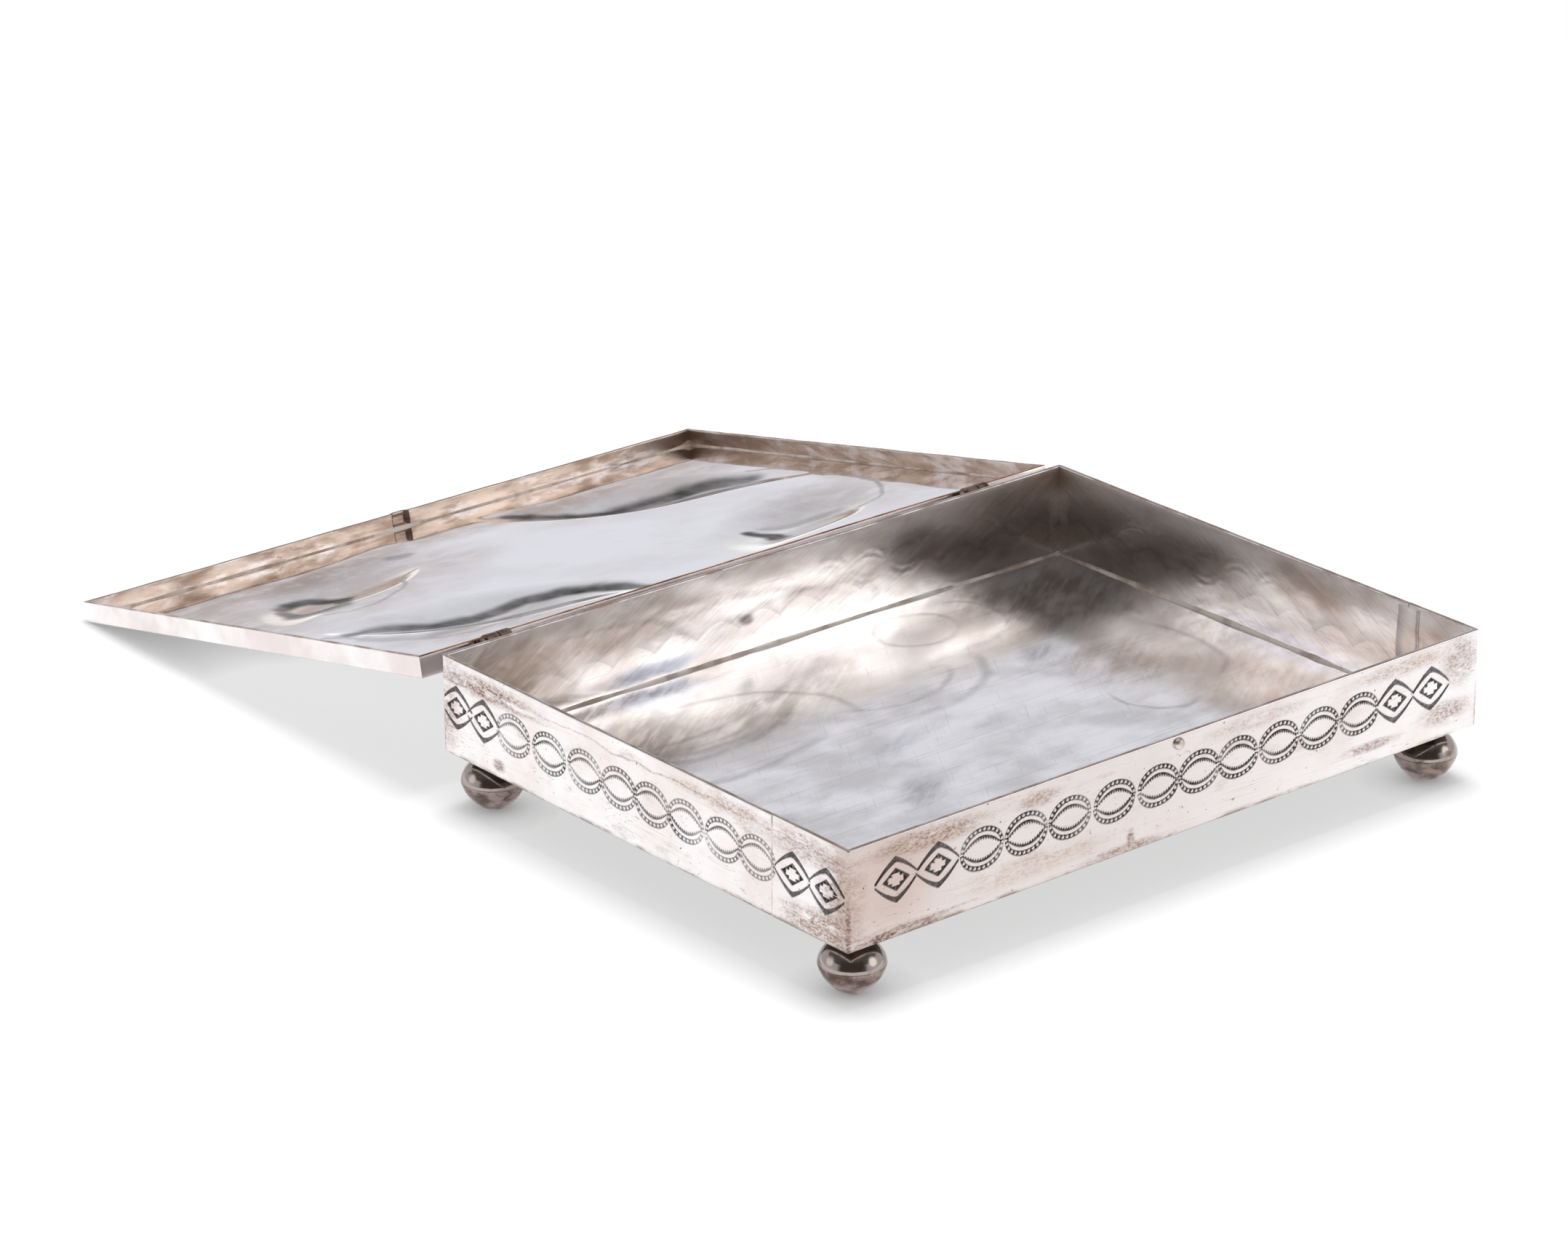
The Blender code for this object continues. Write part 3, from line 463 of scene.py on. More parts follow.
# Floor sheet: rubbed by what lay on it, so it is a grey mirror with fine scratches and round wiping marks
floorLook = {
    "clean": "#F6F5F6", "grey": "#E2E0E2", "greyAmount": 0.6, "mark": "#6F6C72", "arcAmount": 0.36,
    "metal": 0.92, "roughness": (0.12, 0.22), "wander": (12, 3.0), "arcWander": (16, 2.2),
    "wispsLeast": 0.45, "strokesLeast": 0.6, "arcsLeast": 0.35, "cloud": ((24, 15, 15), 0.38, 0.66, 8.0, 2.0),
    "wisps": ((14, 7, 15), 0.32, 0.58, 9.0, 3.0, (0, 0, 0.5)),
    "strokes": ((12, 1.6, 12), 0.38, 0.62, 4.0, 5.0, (0, 0, 0.6)),
    "hairs": (((26, 0.4, 26), 0.56, 0.70, 2.0, 6.0), "#6F6C72", 0.16),
    "across": (((14, 0.5, 14), 0.60, 0.72, 2.0, 8.0, (0, 0, 1.0)), "#6F6C72", 0.14),
    "scratch": ((9, 0.25, 9), 0.3, 0.7, 2.0), "scratchDepth": 0.06,
    "ripple": (11, 0.0, 1.0, 1.0), "bump": (0.20, 0.06),
}
floorPlaces = [  # x and y from the tray's middle, their half sizes, turn, colour, amount
    (68, 48, 26, 24, 0, "#9C918A", 0.9), (84, 12, 10, 22, 0, "#A59790", 0.6),
    (56, 8, 17, 16, -30, "#BBA699", 0.7), (70, -22, 20, 22, -35, "#CDB9AD", 0.7),
    (-72, 54, 12, 9, 0, "#7D7772", 0.9), (-50, 61, 30, 4, 0, "#6B635E", 0.9),
    (-62, 40, 24, 16, 20, "#8B847E", 0.85), (-24, 38, 30, 12, 10, "#A59F9A", 0.75),
    (-80, 18, 9, 22, 0, "#A6A2A6", 0.7), (0, 50, 10, 12, 40, "#B5B1B3", 0.6),
    # painted reflection: the blue-grey places towards the front, at (-27, -18), (-62, -12) and (-30, -52),
    # stand for the pale studio that the floor mirrors there
    (45, 22, 8, 6, 30, "#8A888D", 0.6), (-27, -18, 10, 6, 40, "#92939C", 0.6),
    (-62, -12, 9, 4, 30, "#989CAA", 0.7), (-30, -52, 36, 10, 0, "#C6CAD8", 0.6),
    (-10, 6, 16, 3, 14, "#B4B7C0", 0.5),
]
floorArcs = [  # x and y of the middle, radii, width, facing, spread
    (-42, 46, 24, 17, 2.8, (-0.6, -0.8, 0), 80), (-43, 45, 20, 13, 1.6, (0.4, -0.9, 0), 70),
    (-44, 47, 29, 21, 2.0, (0.3, -0.9, 0), 70), (-46, 50, 34, 13, 1.5, (0.5, -0.9, 0), 60),
    (-50, 34, 38, 20, 2.0, (-0.2, -1, 0), 66), (-38, 30, 30, 22, 1.4, (0.7, 0.5, 0), 70),
    (32, 52, 10, 9, 1.4, (-0.4, 0.3, 0), 160), (45, 50, 9, 11, 1.0, (1, 0.1, 0), 90),
    (38, 48, 17, 12, 1.8, (0.6, -0.8, 0), 80), (6, 34, 26, 20, 2.0, (0.6, -0.8, 0), 60),
    (4, 36, 20, 15, 1.3, (0.2, -1, 0), 70), (48, -8, 9, 11, 1.2, (-0.6, -0.8, 0), 90),
    (62, 8, 15, 21, 1.6, (0.9, -0.3, 0), 70),
]


def wornFloorSilver():
    look = floorLook
    places = [((x, y, 0), (wide, deep, 60), *rest) for x, y, wide, deep, *rest in floorPlaces]
    arcs = [((x, y, 0), (wide, deep, 900), *rest) for x, y, wide, deep, *rest in floorArcs]
    material, tree, coords, field = newMetal("sterlingSilverRubbedFloor", look, (0, trayMiddle, floorTop))
    cloud, wisps, strokes = field("cloud"), field("wisps"), field("strokes")
    broken = times(tree, between(tree, wisps, look["wispsLeast"], 1.0),
                   between(tree, strokes, look["strokesLeast"], 1.0))
    colour = tint(tree, look["clean"], look["grey"], cloud, look["greyAmount"])
    colour = laidOn(tree, wander(tree, coords, *look["wander"]), colour, places, broken)
    softly = wander(tree, coords, *look["arcWander"])
    colour = wiped(tree, softly, colour, arcs, look, between(tree, wisps, look["arcsLeast"], 1.0))
    colour = marked(tree, coords, colour, look["hairs"], look["across"])
    return coated(material, field, look, colour, between(tree, cloud, *look["roughness"]))


# Lid sheet, buffed to a mirror inside, with hair scratches and a little brown by its edges. Outside it is
# handled, so it is duller and browner, a soft silver grey
lidBrown = (17, 0.56, 0.74, 9.0, 6.0)
lidLook = {
    "clean": "#F9F9FB", "hazy": "#EAE8EA", "hazeAmount": 0.8, "dark": "#302C29", "hollows": True,
    "roughness": (0.045, 0.095), "hollowHaze": 0.5, "wander": (10, 2.5), "wornLeast": 0.45,
    "streaksLeast": 0.84, "slope": 0.98, "haze": (26, 0.45, 0.70, 8.0),
    "brown": (lidBrown, "#C9B8AA", 0.25), "worn": ((9, 6, 6), 0.34, 0.60, 8.0, 4.0),
    "streaks": ((3, 5, 5), 0.34, 0.62, 8.0, 3.0), "ripple": (9, 0.0, 1.0, 1.0), "bump": (0.3, 0.04),
}
lidOutsideLook = {
    **lidLook, "hollows": False, "metal": 0.72, "roughness": (0.26, 0.31),
    "brown": (lidBrown, "#C9B8AA", 0.8)}
# Brown left beside the rim and a pale film on the slopes of the lobes
lidPlaces = [  # x and depth in the lid, their half sizes, turn, colour, amount
    (-60, 122, 44, 13, 0, "#A58B78", 0.95), (-80, 100, 16, 34, 0, "#B19A8A", 0.8),
    (20, 124, 66, 10, 0, "#B99E8A", 0.85), (74, 118, 22, 14, 0, "#AD9482", 0.8),
    (-24, 100, 24, 17, 0, "#CFC1B8", 0.85), (-52, 90, 32, 26, 20, "#CFC3BB", 0.9),
    (62, 48, 26, 28, 30, "#D2C8C1", 0.85), (-52, 30, 36, 17, 10, "#C9BDB5", 0.9),
    (46, 102, 38, 16, 0, "#D6CBC4", 0.8), (84, 60, 9, 56, 0, "#BFA896", 0.7),
]


def buffedLidSilver(name, look):
    places = [((x, trayBack + look["slope"] * depth, 0), (wide, deep, 60), *rest)
              for x, depth, wide, deep, *rest in lidPlaces]
    material, tree, coords, field = newMetal(name, look)
    haze = field("haze")
    colour = tint(tree, look["clean"], look["hazy"], haze, look["hazeAmount"])
    colour = marked(tree, coords, colour, look["brown"])
    rough = between(tree, haze, *look["roughness"])
    if look["hollows"]:  # what the buffing wheel couldn't reach stays dark, in streaks that also carry painted reflection of the dark room
        worn = between(tree, field("worn"), look["wornLeast"], 1.0)
        colour = laidOn(tree, wander(tree, coords, *look["wander"]), colour, places, worn)
        patinaAndPaintedReflection, streaks = patinaAndReflectionOf(tree), between(tree, field("streaks"), look["streaksLeast"], 1.0)
        colour = tint(tree, colour, look["dark"], patinaAndPaintedReflection, streaks)
        rough = addNode(tree, "Math", {0: times(tree, patinaAndPaintedReflection, look["hollowHaze"]), 1: rough}, operation="ADD")
    return coated(material, field, look, colour, rough)


# The simpler metals have one cloud from a pale to a dark colour and a few marks.
# Lid rim: left as it came from soldering, golden brown with pale firescale, grime and specks
rimLook = {
    "cloud": ((12, 12, 3), 0.38, 0.66, 8.0), "darkness": 0.8, "roughnessSpread": 0.12,
    "marks": [(((11, 11, 4), 0.50, 0.66, 9.0, 5.0), "#EDE4E0", 0.8),
              (((9, 9, 0.9), 0.58, 0.70, 8.0, 7.0), "#5F4B40", 0.40),
              ((1.3, 0.68, 0.78, 2.0, 3.0), "#5F4B40", 0.7)],
    "ripple": (2.5, 0.0, 1.0, 3.0), "bump": (0.3, 0.05),
}
brownedMarks = [(*rimLook["marks"][0][:2], 0.2), *rimLook["marks"][1:]]  # less firescale by the hinges
# Domed bead halves. Their colours are darker than polished silver, partly painted shade for the dark
# underside and contact shadow that they mirror: the upper ones stay polished, the lower ones are handled and
# painted darker still, a dull rose brown
beadLook = {
    "darkness": 1.0, "roughnessSpread": 0.12, "marks": [((0.9, 0.66, 0.78, 2.0, 4.0), "#4A3B36", 0.6)],
    "ripple": (1.6, 0.0, 1.0, 3.0), "bump": (0.25, 0.04),
}
polishedCloud = ((3.6, 3.6, 2.2), 0.50, 0.74, 6.0, 0.0, (0, 0, 0), 0.4)
handledAndShadedCloud = ((3.6, 3.6, 2.2), 0.34, 0.66, 6.0, 0.0, (0, 0, 0), 0.4)
# Silver solder: greyer than the sheet and slightly grainy where it set. Drawn and worn metal looks like it
solderLook = {
    "darkness": 1.0, "roughnessSpread": 0.15, "marks": [],
    "ripple": (1.2, 0.0, 1.0, 3.0), "bump": (0.3, 0.05)}


def plainSilver(name, look, pale, dark, roughness, **changes):
    look = {**look, **changes}
    material, tree, coords, field = newMetal(name, look)
    cloud = field("cloud")
    colour = marked(tree, coords, tint(tree, pale, dark, cloud, look["darkness"]), *look["marks"])
    rough = between(tree, cloud, roughness, roughness + look["roughnessSpread"])
    return coated(material, field, look, colour, rough)


def grainySilver(name, pale, dark, roughness, size, metal=1.0):
    return plainSilver(name, solderLook, pale, dark, roughness, cloud=(size, 0.38, 0.66, 3.0), metal=metal)


outsideSilver = rubbedStampedSilver()
insideSilver = cloudyInsideSilver()
floorSilver = wornFloorSilver()
lidInsideSilver = buffedLidSilver("sterlingSilverBuffedLid", lidLook)
lidOutsideSilver = buffedLidSilver("sterlingSilverLidOutside", lidOutsideLook)
lidRimSilver = plainSilver("sterlingSilverFirescaledRim", rimLook, "#D2BFB1", "#A58A79", 0.30)
hingeRimSilver = plainSilver(
    "sterlingSilverBrownedRim", rimLook, "#C09A7C", "#8A6248", 0.30, marks=brownedMarks)
# both bead metals are darkened as painted shade, the lower ones more
beadUpperSilver = plainSilver(
    "sterlingSilverPolishedBead", beadLook, "#A99E97", "#65544E", 0.15, cloud=polishedCloud)
beadLowerSilver = plainSilver(
    "sterlingSilverHandledAndShadedBead", beadLook, "#AA9891", "#65544E", 0.16, cloud=handledAndShadedCloud)
# Sheet edges: rubbed pale all round, and a coppery brown by the hinges, where the torch was
brightEdgeSilver = grainySilver("sterlingSilverWornEdge", "#EDE4DF", "#C4B1A5", 0.34, 7)
hingeEdgeSilver = grainySilver("sterlingSilverBrownedEdge", "#D3A57F", "#9A6E50", 0.34, 7)
# Drawn tube and wire: rose grey with a dull shine, darker on the pins
tubeSilver = grainySilver("drawnSilverTube", "#A89484", "#6F5B4D", 0.40, 2.4)
pinSilver = grainySilver("drawnSilverWire", "#8F8075", "#5E5149", 0.34, 2.4)
# Solder: a smooth pale line in the wall joints, broad and matt inside the tray and the lid
seamSolder = grainySilver("silverSolderSeam", "#E2DAD5", "#B5A59A", 0.26, 5)
innerSolder = grainySilver("silverSolderInside", "#EFE5DD", "#B7A699", 0.48, 9, 0.78)
lidSolderSilver = grainySilver("silverSolderLid", "#E8DBD0", "#BBA595", 0.5, 7, 0.8)
# The lid sheet's edge is buffed with it, nearly white. The underside is unpolished, and its dark rose grey is
# painted shade under the tray
lidEdgeSilver = grainySilver("sterlingSilverLidEdge", "#F3F0F0", "#E6DCDA", 0.20, 17)
undersideSilver = grainySilver("sterlingSilverUnpolishedUndersidePaintedShade", "#5F544D", "#3D3530", 0.42, 14)
print("materials made")


# ---- stamped walls ----
# Motif sizes read from the photograph, in mm about each motif's own middle
crescentStamp = {
    "halfWidth": 5.85, "halfHeight": 4.55, "rise": 0.25,  # outer arch
    "bandHalfWidth": 4.95, "bandHalfHeight": 3.40,  # inner side of the beaded band
    "beads": 12, "beadRadius": 0.36, "beadHalfWidth": 5.40, "beadHalfHeight": 3.97,
    "combHalfWidth": 5.2, "combHeight": 2.62, "combLine": 0.40, "toothLength": 0.72, "toothPitch": 0.66,
    "bandDepth": 0.20, "combDepth": 0.16, "ridge": 0.06,
}
diamondStamp = {
    "halfWidth": 5.5, "halfHeight": 5.15, "endHeight": 0.72, "bulge": 0.40, "stroke": 1.35, "endStroke": 1.0,
    "smallHalfWidth": 3.6, "smallHalfHeight": 2.55, "coreHalfWidth": 3.05, "coreHalfHeight": 2.15,
    "teeth": 1.5, "toothShare": 0.34, "depth": 0.24, "hatchPitch": 0.42, "burr": 0.06,
}
# Middles of the motifs along each side, seen from outside, and their height above the lower edge
stampRows = {
    "front": {"height": 12.75, "strength": 1.0,
              "diamonds": (-77.2, -66.1, 64.2, 75.3),
              "ovals": (-54.3, -42.3, -30.2, -17.8, -5.4, 6.3, 17.5, 29.4, 41.3, 53.3)},
    "left": {"height": 11.6, "strength": 0.72,
             "diamonds": (-62.4, -52.8, 50.1, 60.6),
             "ovals": (-42.3, -29.9, -17.5, -6.1, 5.0, 16.1, 28.1, 39.2)},
    "back": {"height": 12.4, "strength": 0.9,
             "diamonds": (-76.2, -65.2, 65.4, 76.4),
             "ovals": (-53.8, -41.7, -29.8, -17.9, -6.2, 5.9, 17.8, 29.7, 41.6, 53.6)},
    "right": {"height": 12.0, "strength": 0.85,
              "diamonds": (-61.0, -50.3, 51.2, 61.9),
              "ovals": (-39.9, -28.4, -17.0, -5.6, 5.9, 17.3, 28.8, 40.2)},
}
wallForm = {
    "sheet": 1.0, "bend": 0.8, "bendSteps": 7, "seamGap": 0.3,
    "leftSeam": 23.7, "rightSeam": 20.5,  # from the front
    "bandLow": 5.9, "bandHigh": 18.5, "rowPitch": 0.14, "shownPitch": 0.14, "hiddenPitch": 0.2,
    "innerRowPitch": 0.5, "plainPitch": 1.6, "stampMargin": 6.3, "echo": 0.17, "echoSpan": 15,
    "waviness": 0.14, "waveCell": 34, "waveSquash": 1.6, "rimWaviness": 0.12, "rimCell": 23, "rimReach": 3,
    "footRound": ((0.42, 0), (0.14, 0.12), (0, 0.42)),  # in and up from the lower edge
    "rimRound": ((0.05, 0.12), (0.17, 0.02), (0.34, 0)),  # in and down from the upper edge
}
# How one hand strike differs from the next: shift in mm, turn in degrees, share lost towards one end, force
strikeForm = {
    "shift": 0.16, "turn": 1.6, "lean": 0.35, "lightest": 0.82, "faintest": 0.25, "blackening": 1.15,
    "halfWidth": 5.5, "reach": 6.9,
}
seamPlaces = {"left": halfDepth - wallForm["leftSeam"], "right": wallForm["rightSeam"] - halfDepth}


def ellipseGap(p, q, halfWidth, halfHeight):  # distance outside an ellipse, below zero inside
    radius = np.sqrt((p / halfWidth) ** 2 + (q / halfHeight) ** 2) + 1e-6
    slope = np.sqrt((p / halfWidth ** 2) ** 2 + (q / halfHeight ** 2) ** 2) / radius + 1e-6
    return (radius - 1) / slope


def evenBeads(c):  # beads an equal way apart along the arch
    turns = np.linspace(0, math.pi, 400)
    x, y = c["beadHalfWidth"] * np.cos(turns), c["beadHalfHeight"] * np.sin(turns)
    walked = np.concatenate([[0], np.cumsum(np.hypot(np.diff(x), np.diff(y)))])
    marks = (np.arange(c["beads"]) + 0.5) / c["beads"] * walked[-1]
    return np.interp(marks, walked, x), np.interp(marks, walked, y)


def pressCrescent(p, q):  # depth and blackening of one crescent, arch up
    c = crescentStamp
    up = q - c["rise"]
    inArch = softStep(-ellipseGap(p, up, c["halfWidth"], c["halfHeight"]))
    pastBand = softStep(ellipseGap(p, up, c["bandHalfWidth"], c["bandHalfHeight"]))
    band = inArch * pastBand * softStep(up + 0.05)
    dots = np.zeros_like(p)
    for x, y in zip(*evenBeads(c)):
        dots = np.maximum(dots, softStep(c["beadRadius"] - np.hypot(p - x, up - y)))
    share = np.clip(1 - (p / c["combHalfWidth"]) ** 2, 0, 1)
    line = 0.05 + c["combHeight"] * share ** 1.05
    thin = 0.35 + 0.65 * np.sqrt(share)
    spine = softStep(line - up) * softStep(up - line + c["combLine"] * thin)
    reach = (line - c["combLine"] * thin - up) / (c["toothLength"] * thin)  # 0 at the spine, 1 at the tips
    saw = np.abs((p / c["toothPitch"]) % 1 - 0.5) * 2
    teeth = softStep(line - up) * np.clip((1.05 - np.clip(reach, 0, 2) - saw * 0.9) * 3.2, 0, 1)
    comb = np.maximum(spine, teeth) * (share > 0) * (up > -0.2)
    ridge = softStep(up - line, 0.2) * (1 - pastBand) * (share > 0)
    depth = c["bandDepth"] * band * (1 - 0.9 * dots) + c["combDepth"] * comb - c["ridge"] * ridge
    black = np.maximum(band * (1 - 0.96 * dots), comb)
    return depth, black


def pressChevron(p, q):  # upper half of a diamond: the outer stroke and half of the small toothed diamond
    d = diamondStamp
    side = np.abs(p)
    share = np.clip(side / d["halfWidth"], 0, 1)

    def arm(t):  # height of the bulging line from the tip at 0 to the end at 1
        return d["halfHeight"] - (d["halfHeight"] - d["endHeight"]) * t + d["bulge"] * np.sin(math.pi * t)

    rounded = np.sqrt(share ** 2 + 0.008) - 0.0894
    outer, inner = arm(share), arm(rounded) - (d["stroke"] + (d["endStroke"] - d["stroke"]) * share)
    stroke = softStep(outer - q) * softStep(q - inner)
    stroke = stroke * softStep(d["halfWidth"] + 0.1 - side) * softStep(q - 0.14)
    lip = softStep(inner - q, 0.1) * softStep(q - inner + 0.45, 0.1) * softStep(d["halfWidth"] - side, 0.3)
    hatch = 0.90 + 0.10 * np.cos(2 * math.pi * (p + 0.5 * q) / d["hatchPitch"])
    inSmall = (1 - side / d["smallHalfWidth"] - q / d["smallHalfHeight"]) * 2.0
    across = side / d["coreHalfWidth"] - q / d["coreHalfHeight"]
    saw = np.abs((across * d["teeth"]) % 1 - 0.5) * 2
    core = side / d["coreHalfWidth"] + q / d["coreHalfHeight"] - 1 + d["toothShare"] * saw
    small = softStep(inSmall) * softStep(core * 1.6) * (q >= 0)
    depth = d["depth"] * np.maximum(stroke, small) - d["burr"] * lip * (1 - small)
    return depth, np.maximum(stroke * hatch, small)


def stampField(side, u, v):  # depth and blackening over a whole side, u along it and v above its lower edge
    row, s = stampRows[side], strikeForm
    depth, black = np.zeros((len(v), len(u))), np.zeros((len(v), len(u)))
    dice = np.random.default_rng(sum(map(ord, side)))  # hand-struck, so no two sit quite alike
    for kind, press in (("ovals", pressCrescent), ("diamonds", pressChevron)):
        for middle in row[kind]:
            for half in (1, -1):
                moveU, moveV = dice.uniform(-s["shift"], s["shift"], 2)
                turn = math.radians(dice.uniform(-s["turn"], s["turn"]))
                lean = dice.uniform(-s["lean"], s["lean"])
                force = row["strength"] * dice.uniform(s["lightest"], 1.0)
                if kind == "diamonds":  # struck deeper and straighter than the crescents
                    force, lean, moveU = 1.0, lean * 0.2, moveU * 0.5
                columns = np.nonzero(np.abs(u - middle) < s["reach"])[0]
                if not len(columns):
                    continue
                du, dv = np.meshgrid(u[columns] - middle - moveU, v - row["height"] - moveV * 0.6)
                p = du * math.cos(turn) + dv * math.sin(turn)
                q = (dv * math.cos(turn) - du * math.sin(turn)) * half
                sunk, dark = press(p, q)
                grip = np.clip(force * (1 + lean * p / s["halfWidth"]), s["faintest"], 1.0)
                keep = q > (-0.4 if kind == "ovals" else 0)
                sunk, dark = sunk * grip * keep, dark * np.clip(grip * s["blackening"], 0, 1) * keep
                view = np.ix_(range(len(v)), columns)
                depth[view] = np.where(np.abs(sunk) > np.abs(depth[view]), sunk, depth[view])
                black[view] = np.maximum(black[view], dark)
    return depth, black


sideFrames = {  # middle of each outer face, its direction seen from outside, the way in, half its length
    "front": ((0, trayFront), (1, 0), (0, 1), halfLength),
    "right": ((trayRight, trayMiddle), (0, 1), (-1, 0), halfDepth),
    "back": ((0, trayBack), (-1, 0), (0, -1), halfLength),
    "left": ((trayLeft, trayMiddle), (0, -1), (1, 0), halfDepth),
}


def sideStations(side, start, end):  # dense where the side is stamped, wide apart elsewhere
    w = wallForm
    row = stampRows[side]
    marks = sorted(row["ovals"] + row["diamonds"])
    low, high = max(start, marks[0] - w["stampMargin"]), min(end, marks[-1] + w["stampMargin"])
    pitch = w["shownPitch"] if side in ("front", "left") else w["hiddenPitch"]
    parts = []
    if low - start > 0.01:
        parts.append(np.linspace(start, low, max(2, int((low - start) / w["plainPitch"]) + 2))[:-1])
    if high > low:
        parts.append(np.linspace(low, high, max(2, int((high - low) / pitch))))
    else:
        high = low
        parts.append(np.array([low]))
    if end - high > 0.01:
        parts.append(np.linspace(high, end, max(2, int((end - high) / w["plainPitch"]) + 2))[1:])
    return np.concatenate(parts)


def wallSection():  # (distance in, height above the lower edge, material) round the strip
    w, sheet, tall = wallForm, wallForm["sheet"], trayRim - trayLow
    stamped = np.arange(w["bandLow"], w["bandHigh"], w["rowPitch"])
    plain = np.arange(w["bandHigh"], w["bandLow"], -w["innerRowPitch"])
    foot = [(a, b, 0) for a, b in w["footRound"]]
    outer = [(0, h, 0) for h in (1.2, 2.4, 3.8, 5.0, *stamped, 19.6, 20.9, tall - 0.32)]
    rim = w["rimRound"]
    over = [(a, tall - b, 2) for a, b in rim] + [(sheet - a, tall - b, 2) for a, b in rim[::-1]]
    inner = [(sheet, h, 1) for h in (tall - 0.32, tall - 1.5, *plain, 4.6, 3.2, 1.9, 0.9, 0)]
    return foot + outer + over + inner


def stampEcho(depth):  # the punch marks show through softly on the other side
    kernel = np.hanning(wallForm["echoSpan"])
    kernel = kernel / kernel.sum()
    return np.apply_along_axis(lambda line: np.convolve(line, kernel, "same"), 1, depth)


def wallPiece(name, node, distance, runs):
    # one bent strip: its runs are (side, start, end), with a bend where a run has no start or end of its own
    w = wallForm
    offsets, heights, bands = np.array(wallSection()).T
    outside = (offsets < 0.01)[:, None]
    inside = (offsets > w["sheet"] - 0.01)[:, None]
    places, inwards, depths, blacks, walked = [], [], [], [], []
    for number, (side, start, end) in enumerate(runs):
        middle, along, inward, half = (np.array(part, float) for part in sideFrames[side])
        start = -half + w["bend"] if start is None else start
        end = half - w["bend"] if end is None else end
        u = sideStations(side, float(start), float(end))
        depth, black = stampField(side, u, heights)
        depths.append(np.where(outside, depth, np.where(inside, stampEcho(depth) * w["echo"], 0)))
        blacks.append(np.where(outside, black, 0))
        places.append(middle + u[:, None] * along)
        inwards.append(np.repeat(inward[None], len(u), 0))
        walked.append(distance + u - u[0])
        distance = walked[-1][-1]
        if number < len(runs) - 1:
            turns = np.linspace(0, math.pi / 2, w["bendSteps"] + 2)[1:-1]
            out = -inward * np.cos(turns)[:, None] + along * np.sin(turns)[:, None]
            places.append(places[-1][-1] + inward * w["bend"] + out * w["bend"])
            inwards.append(-out)
            depths.append(np.zeros((len(heights), len(turns))))
            blacks.append(depths[-1])
            walked.append(distance + turns * w["bend"])
            distance = walked[-1][-1] + turns[0] * w["bend"]
    place, inward = np.concatenate(places), np.concatenate(inwards)
    depth, black, walk = np.hstack(depths), np.hstack(blacks), np.concatenate(walked)
    bow = w["waviness"] * noiseAbove(walk[None], heights[:, None] * w["waveSquash"], w["waveCell"], 5)
    sag, reach = w["rimWaviness"] * noiseAbove(walk, walk * 0, w["rimCell"], 8), w["rimReach"]
    lift = np.clip((heights - (trayRim - trayLow) + reach) / reach, 0, 1)[:, None] * sag[None]
    shift = offsets[:, None] + depth + bow
    x, y = (place[None, :, k] + inward[None, :, k] * shift for k in (0, 1))
    rings = np.stack([x, y, trayLow + heights[:, None] - lift], -1).transpose(1, 0, 2)
    metals = [outsideSilver, insideSilver, brightEdgeSilver]
    addPiece(name, rings, metals, "tray", "outside", [node], bands=bands, values=black.T, sharpDegrees=50.0)


def wallStrips():
    gap = wallForm["seamGap"] / 2
    left, right = seamPlaces["left"], seamPlaces["right"]
    wallPiece("wallFrontStrip", "front_wall", 0.0, [
        ("left", left + gap, None), ("front", None, None), ("right", None, right - gap)])
    wallPiece("wallBackStrip", "back_wall", 260.0, [
        ("right", right + gap, None), ("back", None, None), ("left", None, left - gap)])


wallStrips()
print("stamped walls made")


# ---- floor, seams and straps ----
floorForm = {"pitch": 1.4, "waviness": 0.16, "cell": 26}


def sheetRings(xs, ys, lower, upper):  # rings across a flat sheet whose faces are height fields
    rings = []
    for index, x in enumerate(xs):
        top = np.stack([np.full_like(ys, x), ys, upper[index]], -1)
        under = np.stack([np.full_like(ys, x), ys, lower[index]], -1)[::-1]
        rings.append(np.concatenate([top, under]))
    return np.array(rings)


def trayFloor():
    low, high = cornerMm("floor_plate", 0), cornerMm("floor_plate", 1)
    xs, ys = (np.linspace(low[k], high[k], int((high[k] - low[k]) / floorForm["pitch"])) for k in (0, 1))
    gx, gy = np.meshgrid(xs, ys, indexing="ij")
    wave = floorForm["waviness"] * noiseAbove(gx, gy, floorForm["cell"], 12)
    rings = sheetRings(xs, ys, np.full_like(gx, low[2]), high[2] - wave)
    metals, bands = [floorSilver, undersideSilver], np.repeat([0, 1], len(ys))
    addPiece("trayFloor", rings, metals, "tray", "floor", ["floor_plate"], bands=bands)


def solderRun(low, high, height, margin, pitch, section):
    # loops of solder along the four sides of a rectangle. section() gives a loop's points, inwards and up
    corners = np.array([low, (high[0], low[1]), high, (low[0], high[1])], float)
    rings, walked = [], 0.0
    for start, end in zip(corners, np.roll(corners, -1, 0)):
        length = np.linalg.norm(end - start)
        along = (end - start) / length
        inward = np.array((-along[1], along[0]))
        for step in np.linspace(margin, length - margin, int(length / pitch)):
            shape = section(walked + step, min(step, length - step))
            rings.append([(*(start + along * step + inward * a), height + b) for a, b in shape])
        walked += length
    return rings


filletForm = {"reach": 0.8, "wave": 0.25, "fineWave": 0.1, "sunk": 0.25, "pitch": 0.9}


